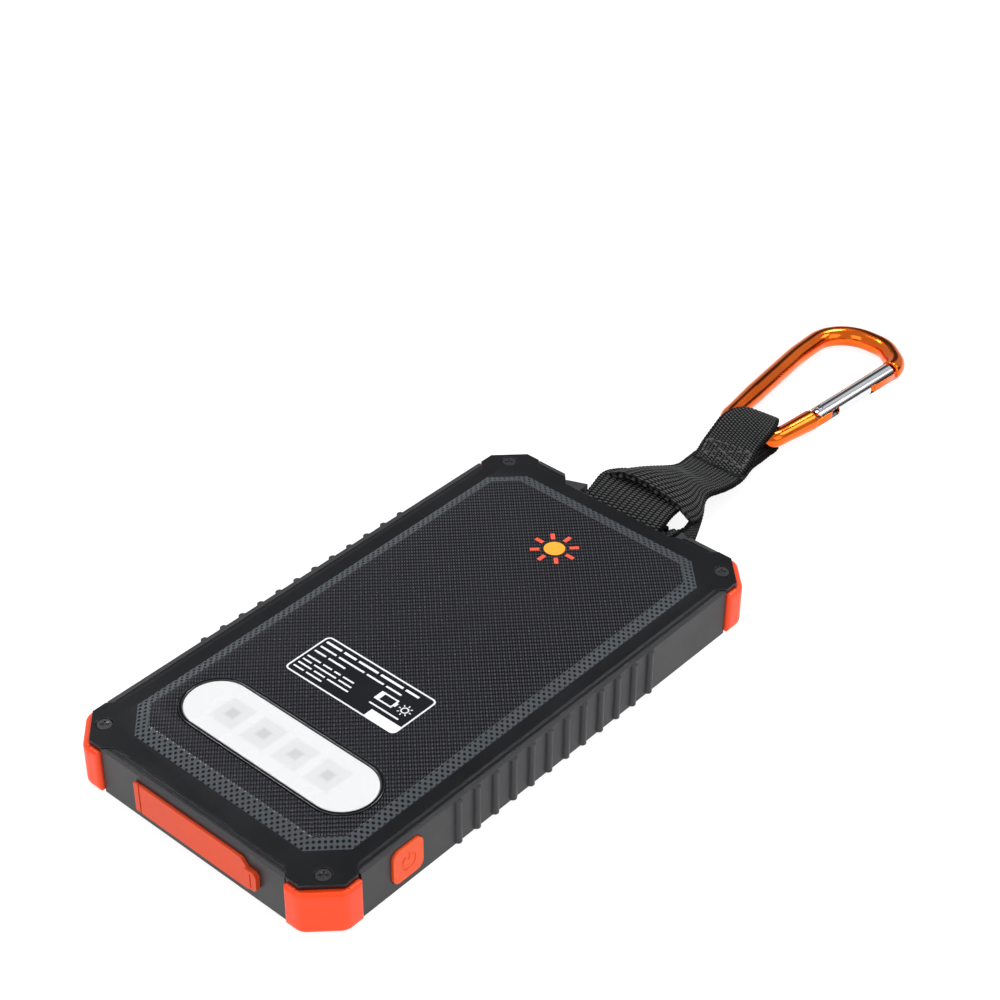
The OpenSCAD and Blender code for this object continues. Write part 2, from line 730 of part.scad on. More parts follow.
case_shell();
rear_cover();
cover_gasket();
cover_screws();
bumper_port_left();
bumper_port_right();
bumper_strap_left();
bumper_strap_right();
solar_window();
solar_cells();
cell_busbars();
solar_board();
panel_wires();
lamp_bezel();
lamp_lens();
lamp_leds();
lamp_board();
lamp_wires();
battery_cell();
protection_board();
battery_leads();
foam_pad();
main_board();
board_chips();
inductor();
capacitors();
usb_a_socket();
usb_a_tongue();
micro_usb_socket();
tact_switch();
switch_plunger();
power_button();
port_cover();
port_cover_tether();
label_print();
sun_disc();
sun_rays();
strap();
strap_stitching();
carabiner_body();
gate_pin();
carabiner_gate();
gate_spring();
gate_plunger();
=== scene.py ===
"""A pocket solar lamp and power bank with a webbing strap and a carabiner, lying on a floor.

The case is about 77 mm wide along x and 141 mm long along y, centred on the origin, with
its resting side at z = 0 and the cover with the lamp on top. The strap leaves the +y end
and holds the carabiner. Shapes are worked out in millimetres and stored in metres.
"""

import math

import bmesh
import bpy
import numpy as np
from mathutils import Matrix, Vector


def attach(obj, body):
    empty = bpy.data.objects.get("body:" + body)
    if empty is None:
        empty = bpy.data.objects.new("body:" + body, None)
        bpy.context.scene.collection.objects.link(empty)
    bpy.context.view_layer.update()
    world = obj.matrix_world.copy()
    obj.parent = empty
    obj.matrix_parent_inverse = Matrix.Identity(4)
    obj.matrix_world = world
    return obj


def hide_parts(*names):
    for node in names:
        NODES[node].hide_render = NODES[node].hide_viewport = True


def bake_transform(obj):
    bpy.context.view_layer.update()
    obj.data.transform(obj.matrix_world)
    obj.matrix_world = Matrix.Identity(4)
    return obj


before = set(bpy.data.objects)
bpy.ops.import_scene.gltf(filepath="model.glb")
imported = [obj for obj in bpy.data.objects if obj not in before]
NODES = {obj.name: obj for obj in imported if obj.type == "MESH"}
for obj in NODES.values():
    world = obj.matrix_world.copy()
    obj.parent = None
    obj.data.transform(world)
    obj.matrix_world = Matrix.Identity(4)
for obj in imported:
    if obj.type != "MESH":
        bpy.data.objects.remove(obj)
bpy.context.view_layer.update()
MM = 0.001
DIAGONAL = math.sqrt(0.5)      # x and y part of a unit vector at 45 degrees
# the weave attribute also holds the darkening toward the strap's selvedges, and the webbing shader
# paints highlight and shade from it
WEAVE_SHADING = "weave"                # point attribute that carries the height of the weave
scene = bpy.context.scene


# ------------------------------------------------------------------ shader helper
class Shader:
    """One procedural material: a Principled shader and the nodes that feed it."""

    INPUTS = {
        "base": "Base Color", "rough": "Roughness", "metal": "Metallic",
        "spec": "Specular IOR Level", "coat": "Coat Weight", "coat_rough": "Coat Roughness",
        "sheen": "Sheen Weight", "sheen_rough": "Sheen Roughness", "normal": "Normal",
        "trans": "Transmission Weight", "ior": "IOR", "sss": "Subsurface Weight",
        "sss_radius": "Subsurface Radius", "emit": "Emission Color",
        "emit_power": "Emission Strength"}

    def __init__(self, name):
        self.material = bpy.data.materials.new(name)
        self.material.use_nodes = True
        self.tree = self.material.node_tree
        self.tree.nodes.clear()
        self.output = self.node("ShaderNodeOutputMaterial")
        self.principled = self.node("ShaderNodeBsdfPrincipled")
        self.plug(self.output.inputs[0], self.principled.outputs[0])
        self.place = self.node("ShaderNodeTexCoord").outputs["Object"]

    def node(self, kind, **settings):
        node = self.tree.nodes.new(kind)
        for key, value in settings.items():
            setattr(node, key, value)
        return node

    def plug(self, socket, value):
        """Link a socket, or set a value; None leaves the default."""
        if isinstance(value, bpy.types.NodeSocket):
            self.tree.links.new(value, socket)
        elif value is not None:
            if isinstance(value, tuple) and socket.type == "RGBA":
                value = (*value, 1.0)
            socket.default_value = value

    def xyz(self):
        node = self.node("ShaderNodeSeparateXYZ")
        self.plug(node.inputs[0], self.place)
        return node.outputs

    def math(self, operation, a, b=None):
        node = self.node("ShaderNodeMath", operation=operation)
        self.plug(node.inputs[0], a)
        self.plug(node.inputs[1], b)
        return node.outputs[0]

    def add(self, a, b):
        return self.math("ADD", a, b)

    def sub(self, a, b):
        return self.math("SUBTRACT", a, b)

    def mul(self, a, b):
        return self.math("MULTIPLY", a, b)

    def smaller(self, a, b):
        return self.math("MINIMUM", a, b)

    def larger(self, a, b):
        return self.math("MAXIMUM", a, b)

    def size(self, a):
        return self.math("ABSOLUTE", a)

    def step(self, value, at, to=(0.0, 1.0)):
        """to[0] below at[0], to[1] above at[1], smooth between."""
        node = self.node("ShaderNodeMapRange", interpolation_type="SMOOTHSTEP")
        self.plug(node.inputs["Value"], value)
        for name, number in zip(("From Min", "From Max", "To Min", "To Max"), (*at, *to)):
            node.inputs[name].default_value = number
        return node.outputs[0]

    def noise(self, scale, detail=2.0, rough=0.5, stretch=None):
        node = self.node("ShaderNodeTexNoise")
        place = self.place
        if stretch:
            mapping = self.node("ShaderNodeMapping")
            mapping.inputs["Scale"].default_value = stretch
            self.plug(mapping.inputs[0], place)
            place = mapping.outputs[0]
        self.plug(node.inputs["Vector"], place)
        node.inputs["Scale"].default_value = scale
        node.inputs["Detail"].default_value = detail
        node.inputs["Roughness"].default_value = rough
        return node.outputs["Fac"]

    def mix(self, factor, a, b):
        """Colour a at factor 0, colour b at factor 1."""
        node = self.node("ShaderNodeMix", data_type="RGBA")
        self.plug(node.inputs["Factor"], factor)
        self.plug(node.inputs[6], a)
        self.plug(node.inputs[7], b)
        return node.outputs[2]

    def bump(self, height, depth_mm, normal=None):
        node = self.node("ShaderNodeBump")
        node.inputs["Strength"].default_value = 1.0
        node.inputs["Distance"].default_value = depth_mm * MM
        self.plug(node.inputs["Height"], height)
        self.plug(node.inputs["Normal"], normal)
        return node.outputs[0]

    def bevel(self, radius_mm):
        """A normal rounded over the edges."""
        node = self.node("ShaderNodeBevel", samples=4)
        node.inputs["Radius"].default_value = radius_mm * MM
        return node.outputs[0]

    def worn_edge(self, radius_mm, scale=300, at=(0.35, 0.7)):
        """Patchy, near 1 on edges sharper than the radius and 0 on flats."""
        geometry = self.node("ShaderNodeNewGeometry")
        dot = self.node("ShaderNodeVectorMath", operation="DOT_PRODUCT")
        self.plug(dot.inputs[0], self.bevel(radius_mm))
        self.plug(dot.inputs[1], geometry.outputs["Normal"])
        edge = self.step(self.sub(1.0, dot.outputs["Value"]), at=(0.02, 0.25))
        return self.mul(edge, self.step(self.noise(scale, detail=3, rough=0.6), at=at))

    def surface(self, **values):
        for key, value in values.items():
            self.plug(self.principled.inputs[self.INPUTS[key]], value)

    def see_through(self, factor):
        """Clear where the factor is 1."""
        blend = self.node("ShaderNodeMixShader")
        clear = self.node("ShaderNodeBsdfTransparent")
        self.plug(blend.inputs[0], factor)
        self.plug(blend.inputs[1], self.principled.outputs[0])
        self.plug(blend.inputs[2], clear.outputs[0])
        self.plug(self.output.inputs[0], blend.outputs[0])


def rgb(*levels):
    """Linear colour from sRGB levels of 0 to 255."""
    def linear(c):
        return c / 12.92 if c <= 0.04045 else ((c + 0.055) / 1.055) ** 2.4
    return tuple(linear(level / 255) for level in levels)


def shade(colour, factor):
    return tuple(min(1.0, c * factor) for c in colour)


# ------------------------------------------------------------------ materials
def moulded(name, colour, rough, grain=2600, depth_mm=0.02, vary=0.14, wear=None,
            edge_mm=0.3, round_mm=None, spec=0.5, **surface):
    """Plastic or rubber: mottled colour, fine spark grain, edges rubbed to the wear colour."""
    mat = Shader(name)
    clouds = mat.noise(scale=55, detail=3, rough=0.55)
    mottle = mat.add(mat.mul(clouds, 0.65), mat.mul(mat.noise(scale=420), 0.35))
    base = mat.mix(mat.step(mottle, at=(0.32, 0.68)),
                   shade(colour, 1 - vary), shade(colour, 1 + vary))
    if wear:
        base = mat.mix(mat.mul(mat.worn_edge(edge_mm), 0.6), base, wear)
    fine = mat.noise(scale=grain, rough=0.6)
    soft = mat.step(clouds, at=(0.3, 0.7), to=(rough - 0.05, rough + 0.05))
    normal = mat.bevel(round_mm) if round_mm else None
    mat.surface(base=base, spec=spec,
                rough=mat.add(soft, mat.mul(mat.sub(fine, 0.5), 0.08)),
                normal=mat.bump(fine, depth_mm, normal), **surface)
    return mat.material


def metal(name, colour, rough, streak=(1, 1, 1), vary=0.06, depth_mm=0.004):
    """Bare metal with fine lines, drawn out by the streak scale."""
    mat = Shader(name)
    clouds = mat.noise(scale=90, detail=3)
    lines = mat.noise(scale=900, detail=3, rough=0.6, stretch=streak)
    mottle = mat.add(mat.mul(clouds, 0.5), mat.mul(lines, 0.5))
    mat.surface(
        base=mat.mix(mat.step(mottle, at=(0.35, 0.65)),
                     shade(colour, 1 - vary), shade(colour, 1 + vary)),
        metal=1.0, rough=mat.step(lines, at=(0.25, 0.75), to=(rough * 0.75, rough * 1.3)),
        normal=mat.bump(lines, depth_mm))
    return mat.material


DIMPLE_PITCH = 1.187 * MM


def cover_plastic():
    """Satin border round a raised panel with a lattice of dimples at 45 degrees to the case."""
    mat = Shader("cover_plastic")
    x, y, z = mat.xyz()
    cell_u = mat.mul(mat.add(x, y), DIAGONAL / DIMPLE_PITCH)
    cell_v = mat.mul(mat.sub(y, x), DIAGONAL / DIMPLE_PITCH)
    off_u = mat.sub(mat.math("FRACT", cell_u), 0.5)
    off_v = mat.sub(mat.math("FRACT", cell_v), 0.5)
    radius = mat.math("SQRT", mat.add(mat.mul(off_u, off_u), mat.mul(off_v, off_v)))

    # masks: the whole panel by height, and the sloping band below its level top
    panel = mat.step(z, at=(12.215 * MM, 12.26 * MM))
    slope = mat.smaller(panel, mat.step(z, at=(13.05 * MM, 13.13 * MM), to=(1.0, 0.0)))
    # the printed label has a smooth patch behind it
    beyond_label = mat.larger(
        mat.sub(mat.size(mat.add(x, 0.5 * MM)), 16.2 * MM),
        mat.sub(mat.size(mat.add(y, 20.4 * MM)), 6.5 * MM))
    label = mat.step(beyond_label, at=(-0.2 * MM, 0.2 * MM), to=(1.0, 0.0))
    textured = mat.mul(panel, mat.sub(1.0, label))
    hole = mat.step(radius, at=(0.24, 0.34), to=(1.0, 0.0))
    around_hole = mat.step(radius, at=(0.26, 0.40))

    # small pads between the dimples of the level part, a strong and a faint one per cell: raised in
    # the bump, and also painted lighter as painted highlights
    turn = 2 * math.pi
    wave_u = mat.math("COSINE", mat.mul(cell_u, turn))
    wave_2u = mat.math("COSINE", mat.mul(cell_u, 2 * turn))
    wave_v = mat.math("COSINE", mat.mul(cell_v, turn))
    rows = mat.step(wave_v, at=(-0.35, 0.55))
    strong = mat.step(wave_2u, at=(-0.3, 0.7), to=(0.12, 0.62))
    faint = mat.step(wave_u, at=(0.1, 0.95), to=(0.0, 0.38))
    pads = mat.mul(rows, mat.add(strong, faint))
    ridges = mat.mul(mat.step(wave_2u, at=(0.1, 0.8)), 0.22)
    lattice = mat.smaller(mat.add(pads, ridges), 1.0)

    # the level part: dark plastic with painted highlights on the pads and ridges
    level_painted_glints = mat.mix(lattice, rgb(18, 18, 22), rgb(60, 61, 67))
    # the sloping band: dimples painted near black as painted shade, the net between them painted
    # pale grey as a painted reflection
    slope_painted_sheen = mat.mix(around_hole, rgb(8, 9, 11), rgb(72, 77, 83))
    clouds = mat.noise(scale=60, detail=3, rough=0.55)
    panel_colour = mat.mix(slope, level_painted_glints, slope_painted_sheen)
    smooth_colour = mat.mix(label, rgb(17, 18, 21), rgb(17, 18, 23))
    base = mat.mix(textured, smooth_colour, panel_colour)
    base = mat.mix(mat.step(clouds, at=(0.3, 0.7), to=(0.0, 0.18)), base,
                   shade(rgb(50, 51, 56), 0.5))
    worn = mat.mul(mat.mul(mat.worn_edge(0.25), 0.55), mat.sub(1.0, textured))
    base = mat.mix(worn, base, rgb(98, 98, 104))

    fine = mat.noise(scale=2600, rough=0.6)
    dimples = mat.mul(hole, textured)
    raised = mat.mul(mat.mul(lattice, 0.45), mat.sub(textured, slope))
    sunk = mat.sub(mat.mul(fine, 0.05), mat.mul(dimples, slope))
    # the dimples of the sloping band are duller, and reflect little
    rough = mat.add(mat.step(textured, at=(0.0, 1.0), to=(0.25, 0.20)),
                    mat.mul(mat.mul(dimples, slope), 0.4))
    mat.surface(
        base=base,
        rough=mat.add(rough, mat.mul(mat.sub(clouds, 0.5), 0.08)),
        normal=mat.bump(mat.add(sunk, raised), depth_mm=0.07),
        spec=mat.mul(mat.step(slope, at=(0.0, 1.0), to=(0.34, 0.95)),
                     mat.sub(1.0, mat.mul(mat.mul(dimples, slope), 0.92))))
    return mat.material


LAMP_PITCH = 9.4       # between the four lamp cells along x
LAMP_Y = -44.6


def lens_opal():
    """Milky lens, greyer over each of the four lamp cells."""
    mat = Shader("lens_opal")
    x, y, _ = mat.xyz()
    cells = None
    for place in (-1.5, -0.5, 0.5, 1.5):
        off_x = mat.size(mat.sub(x, place * LAMP_PITCH * MM))
        off_y = mat.size(mat.add(y, -LAMP_Y * MM))
        outer = mat.step(mat.larger(off_x, mat.mul(off_y, 0.92)),
                         at=(3.0 * MM, 4.0 * MM), to=(1.0, 0.0))
        inner = mat.step(mat.larger(off_x, off_y), at=(0.8 * MM, 1.8 * MM), to=(1.0, 0.0))
        cell = mat.add(mat.mul(outer, 0.16), mat.mul(inner, 0.26))
        cells = mat.add(cells, cell) if cells else cell
    milk = mat.noise(scale=120)
    cell_strength = 1.0
    base = mat.mix(mat.mul(cells, cell_strength), rgb(221, 222, 223), rgb(140, 142, 145))
    base = mat.mix(mat.step(milk, at=(0.3, 0.7), to=(0.0, 0.06)), base, rgb(225, 228, 232))
    # a faint emission paints a glow over the whole lens in its own colour, brightening it as light
    # would; the lamp's LEDs are not lit
    mat.surface(base=base, rough=mat.step(milk, at=(0.3, 0.7), to=(0.22, 0.30)),
                sss=0.15, sss_radius=(0.002, 0.002, 0.002), coat=0.4, coat_rough=0.12,
                spec=0.5, normal=mat.bump(mat.noise(scale=1500), depth_mm=0.004),
                emit=base, emit_power=0.05)
    return mat.material


def panel_clear():
    """Lightly dusty clear plastic that lets shadow and diffuse rays straight through."""
    mat = Shader("panel_clear")
    dust = mat.noise(scale=700, detail=4, rough=0.6)
    mat.surface(base=mat.mix(mat.step(dust, at=(0.4, 0.8), to=(0.0, 0.4)),
                             (0.93, 0.95, 0.97), (0.80, 0.84, 0.88)),
                trans=0.97, ior=1.46, rough=mat.step(dust, at=(0.3, 0.8), to=(0.015, 0.08)),
                normal=mat.bump(mat.noise(scale=260), depth_mm=0.004))
    rays = mat.node("ShaderNodeLightPath").outputs
    mat.see_through(mat.larger(rays["Is Shadow Ray"], rays["Is Diffuse Ray"]))
    return mat.material


FINGER_PITCH = 1.55 * MM


def cell_silicon():
    """Blue-black silicon with fine silver fingers along x."""
    mat = Shader("cell_silicon")
    y = mat.xyz()[1]
    off_y = mat.sub(mat.math("FRACT", mat.mul(y, 1 / FINGER_PITCH)), 0.5)
    finger = mat.step(mat.size(off_y), at=(0.03, 0.07), to=(1.0, 0.0))
    crystal = mat.noise(scale=40, detail=4, rough=0.6)
    silicon = mat.mix(mat.step(crystal, at=(0.3, 0.7)),
                      (0.006, 0.009, 0.028), (0.012, 0.019, 0.052))
    mat.surface(base=mat.mix(mat.mul(finger, 0.6), silicon, (0.35, 0.37, 0.42)),
                rough=mat.step(crystal, at=(0.3, 0.7), to=(0.16, 0.24)),
                metal=mat.mul(finger, 0.4), coat=0.5,
                normal=mat.bump(mat.noise(scale=5200), depth_mm=0.002))
    return mat.material


def ink(name, colour):
    """Printed ink, thinned a little in specks."""
    mat = Shader(name)
    specks = mat.noise(scale=1500, detail=3, rough=0.6)
    clouds = mat.noise(scale=140)
    print_colour = mat.mix(mat.step(clouds, at=(0.3, 0.7)),
                           shade(colour, 0.94), shade(colour, 1.04))
    mat.surface(base=mat.mix(mat.step(specks, at=(0.55, 0.85), to=(0.0, 0.22)),
                             print_colour, rgb(60, 60, 66)),
                rough=mat.step(specks, at=(0.3, 0.7), to=(0.36, 0.5)),
                normal=mat.bump(specks, depth_mm=0.008))
    return mat.material


def anodised_orange():
    """Glossy orange anodising, paler on the edges."""
    mat = Shader("anodised_orange")
    clouds = mat.noise(scale=60, detail=3, rough=0.55)
    fine = mat.noise(scale=2400, rough=0.6)
    base = mat.mix(mat.step(clouds, at=(0.3, 0.7)), rgb(230, 98, 16), rgb(240, 112, 26))
    worn = mat.worn_edge(0.25, scale=500, at=(0.4, 0.75))
    mat.surface(base=mat.mix(mat.mul(worn, 0.5), base, rgb(250, 205, 165)), metal=1.0,
                rough=mat.step(clouds, at=(0.3, 0.7), to=(0.11, 0.17)),
                coat=0.18, coat_rough=0.04, normal=mat.bump(fine, depth_mm=0.0005))
    return mat.material


def webbing_nylon():
    """Black nylon: the height of the woven mesh drives colour and shine, with painted highlights on
    the raised yarns and painted shade in the gaps.
    """
    mat = Shader("webbing")
    height = mat.node("ShaderNodeAttribute", attribute_name=WEAVE_SHADING).outputs["Fac"]
    yarn = mat.noise(scale=5200, rough=0.7)
    fade = mat.noise(scale=90, detail=3)
    top = mat.step(height, at=(0.22, 0.82))
    # raised yarns painted lighter and the gaps between them painted near black: painted highlight
    # and painted shade
    base = mat.mix(top, rgb(5, 5, 6), rgb(61, 62, 63))
    # pale specks on the raised yarns are painted glints
    base = mat.mix(mat.mul(top, mat.step(yarn, at=(0.5, 0.8), to=(0.0, 0.45))), base,
                   rgb(116, 116, 114))
    base = mat.mix(mat.step(fade, at=(0.35, 0.7), to=(0.0, 0.22)), base, rgb(22, 22, 23))
    mat.surface(base=base, rough=mat.step(yarn, at=(0.3, 0.7), to=(0.5, 0.72)),
                sheen=0.04, sheen_rough=0.45,
                spec=mat.step(height, at=(0.2, 0.7), to=(0.03, 0.4)),
                normal=mat.bump(yarn, depth_mm=0.05))
    return mat.material


def thread():
    mat = Shader("thread")
    twist = mat.noise(scale=5000, rough=0.7)
    mat.surface(base=mat.mix(mat.step(twist, at=(0.3, 0.7)), rgb(26, 26, 27), rgb(70, 70, 71)),
                rough=mat.step(twist, at=(0.3, 0.7), to=(0.45, 0.65)), sheen=0.2,
                normal=mat.bump(twist, depth_mm=0.03))
    return mat.material


MATERIALS = {}


def use(material, *names):
    for name in names:
        MATERIALS[name] = material


# the case's edges are rounded in the shading alone: its ribs stand too close for a bevel
use(moulded("case_plastic", rgb(42, 42, 45), rough=0.44, grain=2400, depth_mm=0.018, vary=0.10,
            wear=rgb(92, 92, 96), edge_mm=0.25, round_mm=0.22, spec=0.42), "case_shell")
use(cover_plastic(), "rear_cover")
use(moulded("bumper_rubber", rgb(250, 70, 14), rough=0.40, grain=1800, vary=0.045,
            wear=rgb(255, 122, 60), edge_mm=0.5, spec=0.35,
            sss=0.03, sss_radius=(0.002, 0.0008, 0.0004)), "bumper")
use(moulded("button_rubber", rgb(238, 80, 24), rough=0.42, grain=1800, vary=0.05,
            wear=rgb(255, 128, 70), spec=0.35), "power_button")
use(moulded("flap_rubber", rgb(222, 68, 20), rough=0.45, grain=1800, vary=0.05,
            wear=rgb(246, 116, 64), spec=0.35), "port_cover", "port_cover_tether")
use(lens_opal(), "lamp_lens")
use(moulded("bezel_gloss", rgb(14, 15, 17), rough=0.12, grain=1500, depth_mm=0.003, vary=0.2,
            wear=rgb(90, 92, 96), edge_mm=0.2, coat=0.6, coat_rough=0.06), "lamp_bezel")
use(moulded("screw_black", rgb(30, 30, 33), rough=0.34, depth_mm=0.01, vary=0.2,
            wear=rgb(112, 112, 116), edge_mm=0.12, spec=0.6), "cover_screws")
use(moulded("gasket_rubber", rgb(20, 20, 21), rough=0.6), "cover_gasket")

# solar panel
use(panel_clear(), "solar_window")
use(cell_silicon(), "solar_cells")
use(metal("cell_silver", rgb(200, 203, 210), rough=0.3, streak=(1, 12, 1)), "cell_busbars")
use(moulded("panel_board", rgb(22, 24, 30), rough=0.5, grain=1400), "solar_board")

# inside the case
use(moulded("wire_red", rgb(176, 30, 28), rough=0.42, grain=1500),
    "panel_wires", "battery_leads")
use(moulded("wire_yellow", rgb(206, 172, 40), rough=0.42, grain=1500), "lamp_wires")
use(moulded("led_package", rgb(238, 226, 150), rough=0.35, grain=2200, depth_mm=0.008),
    "lamp_leds")
use(moulded("led_board", rgb(232, 232, 228), rough=0.4, depth_mm=0.01), "lamp_board")
use(metal("pouch_foil", rgb(190, 193, 198), rough=0.34, vary=0.08, depth_mm=0.03),
    "battery_cell")
use(moulded("board_green", rgb(28, 96, 52), rough=0.34, grain=3200, depth_mm=0.012, vary=0.2),
    "main_board", "protection_board")
use(moulded("foam", rgb(54, 55, 60), rough=0.9, grain=900, depth_mm=0.25), "foam_pad")
use(moulded("chip_black", rgb(26, 27, 30), rough=0.5, grain=3600), "board_chips", "tact_switch")
use(moulded("ferrite", rgb(58, 58, 62), rough=0.55, depth_mm=0.03), "inductor")
use(metal("capacitor_can", rgb(200, 165, 92), rough=0.35), "capacitors")
use(metal("socket_steel", rgb(196, 198, 202), rough=0.24, streak=(6, 1, 6)),
    "usb_a_socket", "micro_usb_socket")
use(moulded("socket_plastic", rgb(236, 236, 231), rough=0.45), "usb_a_tongue")
use(moulded("plunger_plastic", rgb(214, 214, 212), rough=0.45), "switch_plunger")

# print on the cover
use(ink("print_white", rgb(232, 234, 238)), "label_print")
use(ink("print_amber", rgb(255, 170, 38)), "sun_disc")
use(ink("print_orange", rgb(250, 84, 58)), "sun_rays")

# carabiner and strap
use(anodised_orange(), "carabiner_body")
use(metal("gate_polished", rgb(226, 228, 232), rough=0.10, streak=(8, 0.6, 8), vary=0.04,
          depth_mm=0.0015), "carabiner_gate")
use(metal("pin_steel", rgb(188, 190, 195), rough=0.24, streak=(1, 1, 6)),
    "gate_pin", "gate_plunger")
use(metal("spring_steel", rgb(160, 162, 168), rough=0.28), "gate_spring")
use(webbing_nylon(), "webbing")
use(thread(), "thread")


# ------------------------------------------------------------------ CAD nodes
# bevel widths in mm; nodes not listed keep their sharp edges
BEVEL_MM = {
    "rear_cover": 0.16, "power_button": 0.3, "port_cover": 0.16, "port_cover_tether": 0.06,
    "lamp_bezel": 0.18, "lamp_lens": 0.35, "cover_screws": 0.06, "usb_a_socket": 0.08,
    "usb_a_tongue": 0.1, "micro_usb_socket": 0.08, "battery_cell": 0.6, "foam_pad": 0.2,
    "board_chips": 0.06, "inductor": 0.1, "capacitors": 0.15, "tact_switch": 0.1,
    "lamp_leds": 0.06, "main_board": 0.05, "protection_board": 0.05, "lamp_board": 0.05,
    "carabiner_gate": 0.18, "gate_pin": 0.12, "gate_plunger": 0.15, "solar_window": 0.08,
    "solar_cells": 0.02, "switch_plunger": 0.15}
REPLACED = {"carabiner_body", "strap", "strap_stitching", "bumper_port_left",
            "bumper_port_right", "bumper_strap_left", "bumper_strap_right"}
EDGE_ANGLE = math.radians(28.0)


def shade_smooth(mesh):
    mesh.polygons.foreach_set("use_smooth", np.ones(len(mesh.polygons), bool))


def weighted_normals(obj, weight):
    modifier = obj.modifiers.new("normals", "WEIGHTED_NORMAL")
    modifier.weight = weight
    return modifier


def dress(name):
    """Material, smooth shading and rounded or split edges for a node used as it is."""
    obj = NODES[name]
    mesh = obj.data
    mesh.materials.clear()
    mesh.materials.append(MATERIALS[name])
    shade_smooth(mesh)
    mesh.polygons.foreach_set("material_index", np.zeros(len(mesh.polygons), np.int32))
    weld = obj.modifiers.new("weld", "WELD")
    weld.merge_threshold = 2e-6
    flats = obj.modifiers.new("flats", "DECIMATE")
    flats.decimate_type = "DISSOLVE"
    flats.angle_limit = math.radians(0.6)
    if name in BEVEL_MM:
        bevel = obj.modifiers.new("edges", "BEVEL")
        bevel.width = BEVEL_MM[name] * MM
        bevel.segments = 2
        bevel.limit_method = "ANGLE"
        bevel.angle_limit = EDGE_ANGLE
        bevel.use_clamp_overlap = True
        bevel.harden_normals = False
        bevel.miter_outer = "MITER_ARC"
    else:
        creases = obj.modifiers.new("creases", "EDGE_SPLIT")
        creases.split_angle = EDGE_ANGLE
        creases.use_edge_sharp = False
    weighted_normals(obj, weight=50).keep_sharp = True


for node_name in NODES:
    if node_name not in REPLACED:
        dress(node_name)


# ------------------------------------------------------------------ mesh helpers
def new_mesh(name, points_mm, faces, material, height=None):
    """A smooth object, with the weave height of each point if given."""
    mesh = bpy.data.meshes.new(name)
    points = np.asarray(points_mm, float) * MM
    mesh.from_pydata([tuple(p) for p in points], [], [tuple(int(i) for i in f) for f in faces])
    mesh.update()
    if height is not None:
        attribute = mesh.attributes.new(WEAVE_SHADING, "FLOAT", "POINT")
        attribute.data.foreach_set("value", np.asarray(height, np.float32))
    mesh.materials.append(material)
    shade_smooth(mesh)
    obj = bpy.data.objects.new(name, mesh)
    scene.collection.objects.link(obj)
    return obj


def tube_faces(rings, around, first=0):
    """Faces of a capped tube, whose rings of points start at the index first."""
    faces = []
    for i in range(rings - 1):
        ring = first + i * around
        for j in range(around):
            k = (j + 1) % around
            faces.append((ring + j, ring + k, ring + around + k, ring + around + j))
    last = first + (rings - 1) * around
    faces.append(tuple(range(first, first + around))[::-1])
    faces.append(tuple(range(last, last + around)))
    return faces


def unit(vector):
    return vector / np.linalg.norm(vector)


def distances(path):
    """Distance of each point along a path."""
    return np.r_[0, np.cumsum(np.linalg.norm(np.diff(path, axis=0), axis=1))]


def directions(path):
    change = np.gradient(path, axis=0)
    return change / np.linalg.norm(change, axis=1)[:, None]


def resample(path, old, new):
    """A plan path known at the old distances, read at the new ones."""
    return np.stack([np.interp(new, old, path[:, axis]) for axis in (0, 1)], 1)


# ------------------------------------------------------------------ corner guards
# sizes in mm, for the corner at +x +y
GUARD_X, GUARD_Y = 38.7, 70.7          # outer faces
GUARD_CHAMFER = 6.7                    # leg of the 45 degree face
GUARD_ROUND = 3.5                      # plan radius where the faces meet
GUARD_HEIGHT = 10.98
WING_X, WING_Y = 27.5, 59.15           # ends of the two wings
WING_ROUND = 1.0
JOINT = 0.02                           # gap between a straight and the next arc
BOTTOM_ROUND, TOP_ROUND = 1.5, 0.8
WALL = 1.92
INNER_X, INNER_Y, INNER_CHAMFER = GUARD_X - WALL, GUARD_Y - WALL, 6.03
# the octagon of the guard's inner face: unit normal, distance from the centre
INNER_FACES = (((1, 0), INNER_X), ((0, 1), INNER_Y),
               ((DIAGONAL, DIAGONAL), (INNER_X + INNER_Y - INNER_CHAMFER) * DIAGONAL))


def arc(centre, radius, start, end, count):
    angles = np.radians(np.linspace(start, end, count))
    return np.stack([centre[0] + radius * np.cos(angles), centre[1] + radius * np.sin(angles)], 1)


def guard_plan():
    """Outer face in plan from wing to wing, and the distance of each point to an end."""
    tangent = GUARD_ROUND * math.tan(math.radians(22.5))
    centre_a = (GUARD_X - GUARD_ROUND, GUARD_Y - GUARD_CHAMFER - tangent)
    centre_b = (GUARD_X - GUARD_CHAMFER - tangent, GUARD_Y - GUARD_ROUND)
    arc_a = arc(centre_a, GUARD_ROUND, 0, 45, 9)
    arc_b = arc(centre_b, GUARD_ROUND, 45, 90, 9)
    path = np.concatenate([
        np.array([[GUARD_X, y] for y in np.linspace(WING_Y, centre_a[1] - JOINT, 12)]),
        arc_a,
        np.linspace(arc_a[-1], arc_b[0], 6)[1:-1],
        arc_b,
        np.array([[x, GUARD_Y] for x in np.linspace(centre_b[0] - JOINT, WING_X, 12)])])
    along = distances(path)
    length = along[-1]
    # closer rings near the wing ends, so that they can be rounded
    ends = WING_ROUND * (1 - np.cos(np.linspace(0, math.pi / 2, 7)))
    middle = along[(along > WING_ROUND) & (along < length - WING_ROUND)]
    stations = np.unique(np.r_[ends, middle, length - ends])
    return resample(path, along, stations), np.minimum(stations, length - stations)


def wall_at(point, outward):
    """Thickness from an outer point in to the guard's inner face."""
    cuts = [(point @ np.array(normal) - distance) / (outward @ np.array(normal))
            for normal, distance in INNER_FACES if outward @ np.array(normal) > 1e-6]
    return np.clip(max(cut for cut in cuts if cut > 0), 1.7, 2.4)


